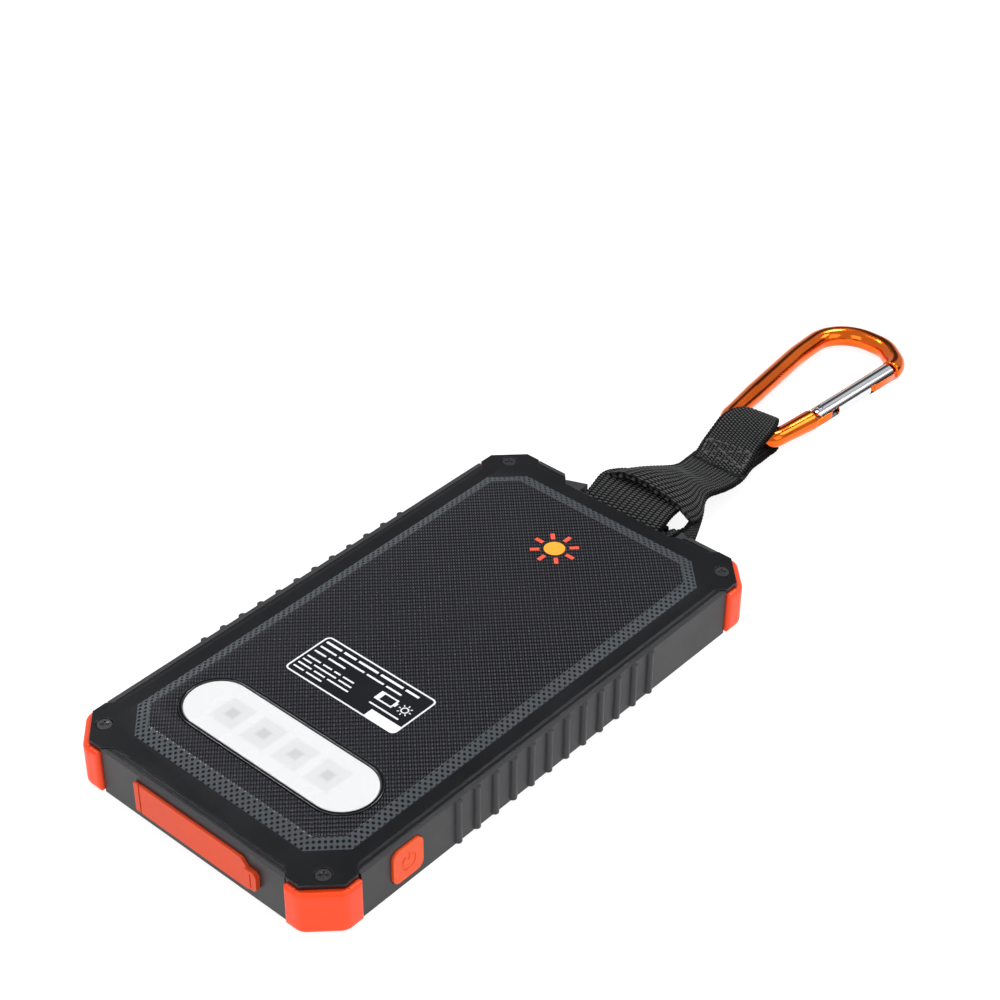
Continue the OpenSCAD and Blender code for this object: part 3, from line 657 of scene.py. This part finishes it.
def guard_profile(wall):
    """Section as (inward offset, height), from the outer top round to the inner top."""
    profile = []
    for angle in np.radians(np.linspace(90, 0, 5)):
        profile.append((TOP_ROUND - TOP_ROUND * math.cos(angle),
                        GUARD_HEIGHT - TOP_ROUND + TOP_ROUND * math.sin(angle)))
    for z in np.linspace(GUARD_HEIGHT - TOP_ROUND - 1, BOTTOM_ROUND, 8):
        profile.append((0.0, z))
    for angle in np.radians(np.linspace(10, 90, 8)):
        profile.append((BOTTOM_ROUND - BOTTOM_ROUND * math.cos(angle),
                        BOTTOM_ROUND - BOTTOM_ROUND * math.sin(angle)))
    return profile + [(wall - 0.1, 0.0), (wall, 0.12), (wall, 4.0),
                      (wall, GUARD_HEIGHT - 0.1), (wall - 0.1, GUARD_HEIGHT)]


def guard_rings():
    """The wall section swept round one corner, thinning to round wing ends."""
    plan, to_end = guard_plan()
    along = directions(plan)
    rings = []
    for point, outward, gap in zip(plan, np.stack([along[:, 1], -along[:, 0]], 1), to_end):
        cut = 0.0
        if gap < WING_ROUND:
            cut = WING_ROUND - math.sqrt(max(0.0, WING_ROUND ** 2 - (WING_ROUND - gap) ** 2))
        wall = wall_at(point, outward)
        ring = []
        for offset, z in guard_profile(wall):
            if offset < wall - 0.15:
                offset = min(max(offset, cut), wall)
            z = min(max(z, cut * 0.9), GUARD_HEIGHT - cut * 0.25)
            ring.append((*(point - outward * offset), z))
        rings.append(ring)
    return np.array(rings)


def guard(name, side_x, side_y, rings):
    points = rings.reshape(-1, 3) * (side_x, side_y, 1)
    faces = tube_faces(*rings.shape[:2])
    if side_x * side_y > 0:
        faces = [face[::-1] for face in faces]
    obj = new_mesh(name + "_rubber", points, faces, MATERIALS["bumper"])
    weighted_normals(obj, weight=40)
    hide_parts(name)
    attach(obj, "case")


corner_rings = guard_rings()
guard("bumper_strap_right", 1, 1, corner_rings)
guard("bumper_strap_left", -1, 1, corner_rings)
guard("bumper_port_right", 1, -1, corner_rings)
guard("bumper_port_left", -1, -1, corner_rings)


# ------------------------------------------------------------------ carabiner
# sizes in mm, in the carabiner's own plane, which dips toward +y
HOOK_Y, HOOK_Z = 124, 3.95             # its origin
HOOK_LENGTH = 59.1
HOOK_FAR_Z = 2.75
HOOK_TILT = -math.asin((HOOK_Z - HOOK_FAR_Z) / HOOK_LENGTH)
# centre line of the rod: x, y, corner radius
HOOK_SPINE = np.array([
    (5.2, 15.4, 0), (3.4, 0, 3.1), (-11, 0, 3.1), (-15.9, 38, 60),
    (-16.6, 58.3, 10.5), (-0.2, 58.3, 8), (7.1, 52.6, 6), (6.93, 48.9, 0)])
SPINE_STEP = 0.3
ROD_SIDES = 40
ROD_THICK, ROD_THIN = 2.70, 2.35       # radii
GATE_ORIGIN = (5.45, 18.4)
GATE_ANGLE = math.radians(-2.8)
GATE_LENGTH = 29.6
# outlines of the tangs that carry the gate, in the gate's own axes
NEAR_TANG = [(-2.35, -3.9), (2.35, -3.9)] + [
    (2.42 * math.cos(math.radians(angle)), 2.1 + 2.2 * math.sin(math.radians(angle)))
    for angle in range(0, 181, 15)]
FAR_TANG = [
    (2.45, GATE_LENGTH + 2.2), (-1.4, GATE_LENGTH + 2.2), (-1.4, GATE_LENGTH - 5.0),
    (-0.6, GATE_LENGTH - 8.9), (1.2, GATE_LENGTH - 9.3), (2.45, GATE_LENGTH - 8.6)]
TANG_HALF, TANG_CHAMFER = 1.12, 0.22


def hook(x, y, z):
    """From the carabiner's own plane to the frame."""
    cos, sin = math.cos(HOOK_TILT), math.sin(HOOK_TILT)
    return (x, HOOK_Y + y * cos - z * sin, HOOK_Z + y * sin + z * cos)


def filleted(spine, step):
    """Straights joined by arcs, evenly sampled, with the distances along."""
    corners = spine[:, :2]
    path = [corners[0]]
    for before, corner, after, radius in zip(corners, corners[1:], corners[2:], spine[1:, 2]):
        into, out = unit(corner - before), unit(after - corner)
        turn = math.acos(float(into @ out))
        side = 1 if into[0] * out[1] - into[1] * out[0] > 0 else -1
        start = corner - into * radius * math.tan(turn / 2)
        centre = start + side * radius * np.array([-into[1], into[0]])
        first = math.atan2(*(start - centre)[::-1])
        for swept in np.linspace(0, turn, max(6, int(math.degrees(turn) / 4))):
            angle = first + side * swept
            path.append(centre + radius * np.array([math.cos(angle), math.sin(angle)]))
    path = np.array(path + [corners[-1]])
    old = distances(path)
    new = np.linspace(0, old[-1], int(old[-1] / step))
    return resample(path, old, new), new


def rod_points():
    path, along = filleted(HOOK_SPINE, SPINE_STEP)
    for _ in range(6):                 # ease the joints between straights and arcs
        path[1:-1] = 0.25 * path[:-2] + 0.5 * path[1:-1] + 0.25 * path[2:]
    heading = directions(path)
    normals = np.stack([-heading[:, 1], heading[:, 0]], 1)
    # the rod is thinner up to just past its second corner
    corner = along[np.argmin(np.linalg.norm(path - HOOK_SPINE[2, :2], axis=1))]
    radii = np.interp(along, [0, 9.2, 12.0, corner + 5, corner + 15, along[-1]],
                      [ROD_THICK, 2.37, ROD_THIN, ROD_THIN, ROD_THICK, ROD_THICK])
    radii[[0, -1]] -= 0.3              # both ends are eased
    radii[[1, -2]] -= 0.1
    angles = np.linspace(0, 2 * math.pi, ROD_SIDES, endpoint=False)
    return [hook(*(point + normal * radius * math.cos(angle)), radius * math.sin(angle))
            for point, normal, radius in zip(path, normals, radii) for angle in angles]


def tang_points(outline):
    """Four rings of a flat plate with chamfered rims."""
    outer = np.array(outline)
    middle = outer.mean(0)
    reach = np.maximum(np.linalg.norm(outer - middle, axis=1), 0.5)
    inset = middle + (outer - middle) * (1 - TANG_CHAMFER / reach)[:, None]
    shoulder = TANG_HALF - TANG_CHAMFER
    cos, sin = math.cos(GATE_ANGLE), math.sin(GATE_ANGLE)
    return [hook(GATE_ORIGIN[0] + x * cos - y * sin, GATE_ORIGIN[1] + x * sin + y * cos, z)
            for ring, z in ((inset, -TANG_HALF), (outer, -shoulder),
                            (outer, shoulder), (inset, TANG_HALF))
            for x, y in ring]


def carabiner():
    points = rod_points()
    faces = tube_faces(len(points) // ROD_SIDES, ROD_SIDES)
    for outline in (NEAR_TANG, FAR_TANG):
        faces += tube_faces(4, len(outline), first=len(points))
        points += tang_points(outline)
    obj = new_mesh("carabiner_rod", points, faces, MATERIALS["carabiner_body"])
    mesh = bmesh.new()
    mesh.from_mesh(obj.data)
    bmesh.ops.recalc_face_normals(mesh, faces=mesh.faces)
    mesh.to_mesh(obj.data)
    mesh.free()
    shade_smooth(obj.data)
    weighted_normals(obj, weight=30)
    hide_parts("carabiner_body")
    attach(obj, "carabiner")


carabiner()


# ------------------------------------------------------------------ webbing strap
# Sections across the band, in order along it. Each holds points (x, y, z) in mm from edge
# to edge: five evenly spread, or the two ends of a straight section.
# MAIN: from the raw end on top of the seam, round the carabiner, back under it and on to
# the lanyard bar.
MAIN = [
    [(-6.7, 104.7, 4.72), (8.6, 105.1, 4.72)],
    [(-7.0, 106.4, 4.98), (8.2, 107.2, 4.98)],
    [(-7.9, 109.2, 5.2), (7.3, 111.0, 5.2)],
    [(-8.8, 112.6, 5.6), (5.6, 115.6, 5.6)],
    [(-9.8, 117.4, 6.3), (4.9, 119.8, 6.3)],
    [(-10.4, 121.6, 6.95), (4.6, 122.8, 6.95)],
    [(-9.9, 124.8, 7.15), (3.8, 125.8, 7.15)],
    [(-8.6, 127.6, 6.9), (2.4, 128.6, 6.9)],
    [(-7.2, 129.4, 5.9), (1.2, 130.4, 5.9)],
    [(-6.7, 130.2, 4.0), (0.3, 131.0, 4.0)],
    [(-7.2, 129.3, 1.8), (0.9, 130.2, 1.8)],
    [(-8.4, 127.2, 0.85), (3.6, 127.8, 0.85)],
    [(-9.8, 123.0, 0.85), (4.6, 123.4, 0.85)],
    [(-9.6, 118.0, 1.5), (5.2, 118.6, 1.5)],
    [(-8.8, 112.5, 2.9), (6.4, 112.4, 2.9)],
    [(-8.2, 107.0, 3.8), (8.2, 106.6, 3.8)],
    [(-7.3, 101.8, 4.7), (9.0, 101.0, 4.7)],
    [(-6.3, 96.6, 6.3), (9.0, 95.0, 6.1)],
    [(-6.9, 91.6, 8.0), (-3.2, 92.4, 8.2), (0.8, 92.2, 8.2), (5.0, 91.2, 7.8), (9.2, 89.8, 7.2)],
    [(-9.2, 86.2, 9.3), (-4.6, 88.0, 9.8), (1.0, 88.0, 9.6), (6.6, 86.6, 9.0), (12.0, 84.4, 7.6)],
    [(-11.6, 81.0, 9.9), (-6.6, 83.6, 10.9), (-0.4, 83.9, 10.8), (6.8, 82.6, 10.0),
     (13.8, 80.6, 7.8)],
    [(-13.4, 77.6, 9.6), (-8.6, 79.6, 11.2), (-1.4, 80.0, 11.1), (6.8, 79.6, 10.1),
     (13.6, 78.4, 8.0)],
]
# WRAP: over the bar, round it, and closed against its own underside; the -x side rolls up
# into the sheet above.
WRAP = [
    [(-12.9, 84.6, 8.2), (-8.4, 85.8, 7.9), (-3.0, 86.4, 7.8), (2.4, 86.0, 7.6), (6.6, 84.6, 7.4)],
    [(-14.2, 80.6, 9.6), (-9.4, 81.6, 8.6), (-3.6, 82.2, 8.5), (2.6, 82.0, 8.4), (7.8, 80.8, 8.2)],
    [(-14.5, 77.0, 9.8), (-10.0, 77.4, 8.9), (-3.8, 77.8, 8.8), (3.0, 77.6, 8.8), (8.6, 76.8, 8.8)],
    [(-14.0, 73.8, 9.0), (-9.8, 74.0, 8.95), (-3.6, 74.0, 8.95), (3.4, 74.0, 8.95),
     (9.4, 73.6, 8.95)],
    [(-13.6, 71.4, 8.68), (9.8, 71.4, 8.68)],
    [(-13.4, 69.5, 8.05), (9.9, 69.5, 8.05)],
    [(-13.3, 68.72, 6.6), (9.9, 68.72, 6.6)],
    [(-13.3, 69.3, 4.95), (9.9, 69.3, 4.95)],
    [(-13.3, 70.9, 4.12), (9.9, 70.9, 4.12)],
    [(-13.2, 72.6, 4.7), (9.8, 72.6, 4.7)],
    [(-13.2, 73.6, 6.0), (9.6, 73.6, 6.0)],
    [(-13.1, 74.6, 7.3), (9.2, 74.6, 7.3)],
]
# LEG: the +x leg, turned on edge between the waist and the bar.
LEG = [
    [(3.0, 91.6, 6.3), (8.2, 90.2, 6.2)],
    [(6.4, 87.4, 7.0), (11.4, 85.4, 6.2)],
    [(9.8, 83.2, 7.6), (13.6, 81.0, 5.6)],
    [(11.9, 79.0, 8.2), (14.6, 78.2, 4.6)],
    [(12.7, 75.6, 8.3), (14.9, 75.8, 3.6)],
    [(12.2, 73.2, 8.55), (14.1, 74.0, 3.5)],
]
# TURN: a narrow turn round the bar at the foot of the leg, as (y, z) between two x.
TURN_X = (11.2, 14.0)
TURN = [[(x, y, z) for x in TURN_X] for y, z in (
    (72.9, 8.3), (71.0, 8.68), (69.4, 8.0), (68.72, 6.4),
    (69.4, 4.8), (71.0, 4.12), (72.6, 4.8), (73.4, 6.1))]

SPREAD = (0, 0.25, 0.5, 0.75, 1)       # places of a section's five points across the band
GRID_STEP = 0.20                       # mesh spacing across the band, mm
BAND_THICKNESS = 1.3
WEAVE_DEPTH = 0.24
FULL_WIDTH, TURN_WIDTH = 18.4, 5.75    # widths over which the yarns are counted
ROW_PITCH, YARN_PITCH = 1.15, 0.84     # of the weave, across and along
UNDER_SHIFT = 0.42                     # of the underside's weave along the band
SELVEDGE_ROUND = 0.8


def natural_spline(knots, points, at):
    """Natural cubic spline through the points at the knots, read at the given places."""
    count = len(knots)
    gap = np.diff(knots)
    matrix = np.zeros((count, count))
    matrix[0, 0] = matrix[-1, -1] = 1
    target = np.zeros((count,) + points.shape[1:])
    for i in range(1, count - 1):
        matrix[i, i - 1:i + 2] = gap[i - 1], 2 * (gap[i - 1] + gap[i]), gap[i]
        target[i] = 6 * ((points[i + 1] - points[i]) / gap[i]
                         - (points[i] - points[i - 1]) / gap[i - 1])
    curve = np.linalg.solve(matrix, target.reshape(count, -1)).reshape(target.shape)
    k = np.clip(np.searchsorted(knots, at) - 1, 0, count - 2)
    shape = (len(at),) + (1,) * (points.ndim - 1)
    span = gap[k].reshape(shape)
    left = (knots[k + 1] - at).reshape(shape)
    past = (at - knots[k]).reshape(shape)
    return (curve[k] * left ** 3 / (6 * span) + curve[k + 1] * past ** 3 / (6 * span)
            + (points[k] / span - curve[k] * span / 6) * left
            + (points[k + 1] / span - curve[k + 1] * span / 6) * past)


def band_grid(sections):
    """An even grid of points (along, across, xyz) through the sections, and its length."""
    rows = []
    for section in sections:
        row = np.array(section, float)
        if len(row) == 2:
            row = np.array([row[0] + (row[1] - row[0]) * f for f in SPREAD])
        rows.append(row)
    rows = np.array(rows)
    hops = np.linalg.norm(np.diff(rows.mean(1), axis=0), axis=1)
    knots = np.r_[0, np.cumsum(hops ** 0.8)]
    fine = np.linspace(0, knots[-1], 1200)
    along = distances(natural_spline(knots, rows, fine).mean(1))
    count = int(along[-1] / (GRID_STEP * 0.72))
    places = np.interp(np.linspace(0, along[-1], count), along, fine)
    rows = natural_spline(knots, rows, places)
    width = np.linalg.norm(np.diff(rows, axis=1), axis=2).sum(1).max()
    across = np.linspace(0, 1, int(width / GRID_STEP))
    grid = natural_spline(np.array(SPREAD), np.swapaxes(rows, 0, 1), across)
    return np.swapaxes(grid, 0, 1), along[-1]


def weave(along, across):
    """Height of the webbing's face, 0 to 1, from distances in mm."""
    row = np.floor(across / ROW_PITCH)
    within = across / ROW_PITCH - row
    rib = np.sin(np.pi * within) ** 0.6
    phase = along / YARN_PITCH + 0.5 * np.mod(row, 2) + 0.25 * within
    return rib * (0.15 + 0.85 * (0.5 + 0.5 * np.cos(2 * np.pi * phase)))


def unit_rows(vectors):
    return vectors / np.maximum(np.linalg.norm(vectors, axis=2), 1e-9)[..., None]


def band(sections, yarn_width=FULL_WIDTH):
    """A closed woven band: ((points, faces, weave heights darkened toward the selvedges as painted
    shade), middle grid).
    """
    grid, length = band_grid(sections)
    count_along, count_across, _ = grid.shape
    step_across = np.gradient(grid, axis=1)
    normal = unit_rows(np.cross(step_across, np.gradient(grid, axis=0)))
    along = np.linspace(0, length, count_along)[:, None] * np.ones((1, count_across))
    hops = np.linalg.norm(np.diff(grid, axis=1), axis=2)
    across = np.concatenate([np.zeros((count_along, 1)), np.cumsum(hops, axis=1)], 1)
    full = across[:, -1:]
    # the weft turns back at each selvedge in small loops
    sideways = unit_rows(step_across)
    for inset, side, phase in ((across, -1, 0.0), (full - across, 1, 0.5)):
        bulge = 0.09 * np.clip(1 - inset / 0.9, 0, 1) * np.cos(2 * np.pi * (along / 1.12 + phase))
        grid = grid + side * sideways * bulge[..., None]
    # the yarns keep their number across the band, so they close up where it is gathered
    yarn = across / full * yarn_width
    upper, lower = weave(along, yarn), weave(along + UNDER_SHIFT, yarn)
    # both faces carry the weave, the selvedges are round
    inset = np.minimum(across, full - across)
    edge = np.clip(1 - inset / SELVEDGE_ROUND, 0, 1)
    half = (BAND_THICKNESS / 2 - WEAVE_DEPTH * 0.5) * np.sqrt(np.clip(1 - edge ** 2, 0.02, 1))
    rise = half + WEAVE_DEPTH * upper * np.clip(inset / 0.5, 0.45, 1)
    drop = half + WEAVE_DEPTH * lower * np.clip(inset / 0.5, 0.25, 1)
    top = grid + normal * rise[..., None]
    under = grid - normal * drop[..., None]
    # the weave heights fall toward each selvedge, which the shader turns into a dark edge: painted
    # shade
    painted_edge_shade = np.clip(inset / 1.1, 0.08, 1)

    total = count_along * count_across
    index = np.arange(total).reshape(count_along, count_across)
    a, b, c, d = index[:-1, :-1], index[:-1, 1:], index[1:, 1:], index[1:, :-1]
    faces = [np.stack([a, b, c, d], -1).reshape(-1, 4),
             np.stack([a, d, c, b], -1).reshape(-1, 4) + total]
    for line in (index[:, 0], index[::-1, -1], index[0, ::-1], index[-1, :]):
        p, q = line[:-1], line[1:]
        faces.append(np.stack([p, p + total, q + total, q], -1))
    points = np.concatenate([top.reshape(-1, 3), under.reshape(-1, 3)])
    heights = np.concatenate([(upper * painted_edge_shade).ravel(), (lower * painted_edge_shade).ravel()])
    return (points, np.concatenate(faces), heights), grid


def fibres():
    """Loose yarn ends at the cut end and along the sewn block, as thin curved tapers."""
    random = np.random.RandomState(11)
    points, faces, heights = [], [], []

    def fibre(base, direction, length, thickness):
        direction = unit(direction)
        side = unit(np.cross(direction, [0.13, 0.2, 1.0]))
        up = np.cross(side, direction)
        bend = random.uniform(-0.5, 0.5) * side + random.uniform(-0.1, 0.35) * up
        faces.extend(tube_faces(5, 4, first=len(points)))
        for k in range(5):
            f = k / 4
            centre = base + direction * length * f + bend * length * f * f
            radius = thickness * (1 - 0.75 * f)
            for j in range(4):
                angle = math.pi / 2 * j
                points.append(centre + side * radius * math.cos(angle)
                              + up * radius * math.sin(angle))
                heights.append(0.55 + 0.3 * random.rand())

    start, end = np.array(MAIN[0])
    for _ in range(230):               # the cut end
        f = random.uniform(0.0, 1.0)
        base = start + (end - start) * f + np.array(
            [0, random.uniform(-0.1, 0.5), random.uniform(0.0, 0.72)])
        fibre(base, np.array([random.uniform(-0.7, 0.7), -1.0, random.uniform(-0.35, 0.25)]),
              random.uniform(0.35, 1.25), thickness=0.055)
    for side_x, start, end in ((-1, (-6.75, 104.8, 4.7), (-8.2, 111.0, 5.2)),
                               (1, (8.65, 105.2, 4.7), (6.3, 114.0, 5.4))):
        start, end = np.array(start), np.array(end)
        for _ in range(34):            # the block's two edges
            f = random.uniform(0, 1) ** 1.6
            base = start + (end - start) * f + np.array([0, 0, random.uniform(-0.3, 0.3)])
            fibre(base, np.array([side_x, random.uniform(-0.9, 0.4), random.uniform(-0.4, 0.3)]),
                  random.uniform(0.3, 0.85), thickness=0.05)
    return np.array(points), np.array(faces), np.array(heights)


def joined(parts):
    points, faces, heights = zip(*parts)
    first = np.cumsum([0] + [len(p) for p in points[:-1]])
    faces = [f + start for f, start in zip(faces, first)]
    return np.concatenate(points), np.concatenate(faces), np.concatenate(heights)


def strap_part(obj, node):
    """Stands in for a strap node, its placement baked into its mesh."""
    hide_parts(node)
    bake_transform(obj)


main_band, main_grid = band(MAIN)
strap_points, strap_faces, strap_weave_shading = joined(
    [main_band, band(WRAP)[0], band(LEG)[0], band(TURN, TURN_WIDTH)[0], fibres()])
strap_part(new_mesh("strap_webbing", strap_points, strap_faces, MATERIALS["webbing"],
                    strap_weave_shading), "strap")


# ------------------------------------------------------------------ stitching
# a box with a cross, each stitch a short raised twist of thread; x, y in mm
STITCH_BOX = [np.array(p) for p in ((-5.3, 106.6), (6.6, 107.2), (4.6, 114.0), (-7.4, 111.8))]
STITCH_LINES = ((0, 1), (1, 2), (2, 3), (3, 0), (0, 2), (1, 3))
STITCH_PITCH, STITCH_GAP = 2.1, 0.45
STITCH_RADIUS = 0.30
STITCH_RINGS, STITCH_SIDES = 7, 8


def stitch_run(start, end):
    """Start and end of each stitch along a line."""
    length = np.linalg.norm(end - start)
    count = int(round(length / STITCH_PITCH))
    along = (end - start) / length
    return [(start + along * (i * length / count + STITCH_GAP / 2),
             start + along * ((i + 1) * length / count - STITCH_GAP / 2)) for i in range(count)]


def stitch_points(start, end, surface):
    """Rings of one stitch, lifted off the nearest point of the band."""
    along = unit(end - start)
    side = np.array([-along[1], along[0]])
    points = []
    for k in range(STITCH_RINGS):
        f = k / (STITCH_RINGS - 1)
        x, y = start + (end - start) * f
        radius = STITCH_RADIUS * math.sqrt(max(0.05, 1 - (2 * f - 1) ** 4))
        lift = 0.5 + 0.30 * math.sin(math.pi * f) ** 0.5 if 0 < f < 1 else 0.42
        nearest = np.argmin((surface[:, 0] - x) ** 2 + (surface[:, 1] - y) ** 2)
        z = surface[nearest, 2] + lift
        for j in range(STITCH_SIDES):
            angle = 2 * math.pi * j / STITCH_SIDES
            out = radius * math.cos(angle)
            points.append((x + side[0] * out, y + side[1] * out,
                           z + radius * 0.8 * math.sin(angle)))
    return points


def stitching():
    surface = main_grid.reshape(-1, 3)
    surface = surface[:len(surface) * 4 // 10]     # the layer above the carabiner
    points, faces = [], []
    for i, j in STITCH_LINES:
        for start, end in stitch_run(STITCH_BOX[i], STITCH_BOX[j]):
            faces += tube_faces(STITCH_RINGS, STITCH_SIDES, first=len(points))
            points += stitch_points(start, end, surface)
    obj = new_mesh("strap_box_stitch", points, faces, MATERIALS["thread"])
    strap_part(obj, "strap_stitching")


stitching()


# ------------------------------------------------------------------ floor, light, camera
def floor():
    """A pale glowing floor, clear from below so that the resting side can be seen."""
    half, z = 6.0, -0.00003
    mesh = bpy.data.meshes.new("floor")
    mesh.from_pydata([(-half, -half, z), (half, -half, z), (half, half, z), (-half, half, z)],
                     [], [(0, 1, 2, 3)])
    obj = bpy.data.objects.new("floor", mesh)
    scene.collection.objects.link(obj)
    mat = Shader("floor_white")
    mat.surface(base=mat.mix(mat.noise(scale=8), (0.24, 0.24, 0.24), (0.28, 0.28, 0.28)),
                rough=0.9, spec=0.1, emit=(1.0, 1.0, 1.0), emit_power=0.86)
    mat.see_through(mat.node("ShaderNodeNewGeometry").outputs["Backfacing"])
    mesh.materials.append(mat.material)


def area_light(name, direction, distance, size, power, target=(0, 0.02, 0.005)):
    """A rectangle of size (x, y) in metres, facing the target."""
    direction = Vector(direction).normalized()
    light = bpy.data.lights.new(name, "AREA")
    light.shape = "RECTANGLE"
    light.size, light.size_y = size
    light.energy = power
    obj = bpy.data.objects.new(name, light)
    scene.collection.objects.link(obj)
    obj.location = Vector(target) + direction * distance
    obj.rotation_euler = direction.to_track_quat("Z", "Y").to_euler()


# Dark flags in the pale tent: direction, cosines of the angle from it where the dark starts
# and is full, level there. The first is mirrored by the cover's top, the others draw dark
# lines along the metal.
FLAGS = (
    ((-0.53, 0.49, 0.75), 0.970, 0.993, 0.06),
    ((-0.40, 0.78, 0.48), 0.955, 0.988, 0.10),
    ((0.66, 0.74, 0.14), 0.960, 0.985, 0.12),
    ((0.23, 0.60, 0.77), 0.984, 0.994, 0.30),
)


def tent():
    world = bpy.data.worlds.new("studio")
    scene.world = world
    world.use_nodes = True
    nodes, links = world.node_tree.nodes, world.node_tree.links
    nodes.clear()
    output = nodes.new("ShaderNodeOutputWorld")
    background = nodes.new("ShaderNodeBackground")
    place = nodes.new("ShaderNodeTexCoord").outputs["Generated"]
    level = None
    for direction, start, full, dark in FLAGS:
        dot = nodes.new("ShaderNodeVectorMath")
        dot.operation = "DOT_PRODUCT"
        dot.inputs[1].default_value = Vector(direction).normalized()
        links.new(place, dot.inputs[0])
        flag = nodes.new("ShaderNodeMapRange")
        flag.interpolation_type = "SMOOTHSTEP"
        flag.inputs["From Min"].default_value = start
        flag.inputs["From Max"].default_value = full
        flag.inputs["To Min"].default_value = 1.0
        flag.inputs["To Max"].default_value = dark
        links.new(dot.outputs["Value"], flag.inputs["Value"])
        if level is None:
            level = flag.outputs[0]
        else:
            product = nodes.new("ShaderNodeMath")
            product.operation = "MULTIPLY"
            links.new(level, product.inputs[0])
            links.new(flag.outputs[0], product.inputs[1])
            level = product.outputs[0]
    links.new(level, background.inputs[0])
    background.inputs[1].default_value = 0.64
    links.new(background.outputs[0], output.inputs[0])


def camera(azimuth, elevation, roll, location, lens):
    """Angles in degrees: azimuth from -y toward +x, elevation above the floor."""
    azimuth, elevation, roll = (math.radians(a) for a in (azimuth, elevation, roll))
    data = bpy.data.cameras.new("cam")
    data.sensor_width = 36.0
    data.lens = lens
    data.clip_start = 0.01
    obj = bpy.data.objects.new("cam", data)
    scene.collection.objects.link(obj)
    back = Vector((math.sin(azimuth) * math.cos(elevation),
                   -math.cos(azimuth) * math.cos(elevation), math.sin(elevation)))
    level = Vector((math.cos(azimuth), math.sin(azimuth), 0))
    upright = back.cross(level)
    right = level * math.cos(roll) + upright * math.sin(roll)
    up = -level * math.sin(roll) + upright * math.cos(roll)
    pose = Matrix((right, up, back)).transposed().to_4x4()
    pose.translation = location
    obj.matrix_world = pose
    scene.camera = obj


floor()
area_light("strip_left", (-0.567, 0.085, 0.82), distance=1.3, size=(0.24, 0.24), power=3.8)
area_light("strip_right", (0.0, 0.555, 0.832), distance=1.3, size=(0.22, 0.42), power=6.4)
area_light("glint", (0.50, 0.57, 0.65), distance=1.3, size=(0.42, 0.42), power=2.0,
           target=(0.0, 0.16, 0.005))
area_light("key", (0.10, -0.90, 0.60), distance=1.6, size=(1.0, 1.0), power=5.0)
area_light("fill", (0.95, 0.10, 0.55), distance=1.6, size=(1.0, 1.0), power=4.0)
tent()
camera(azimuth=41.30, elevation=36.34, roll=0.46,
       location=(0.25915, -0.27107, 0.32723), lens=80.24)
scene.view_settings.view_transform = "Standard"
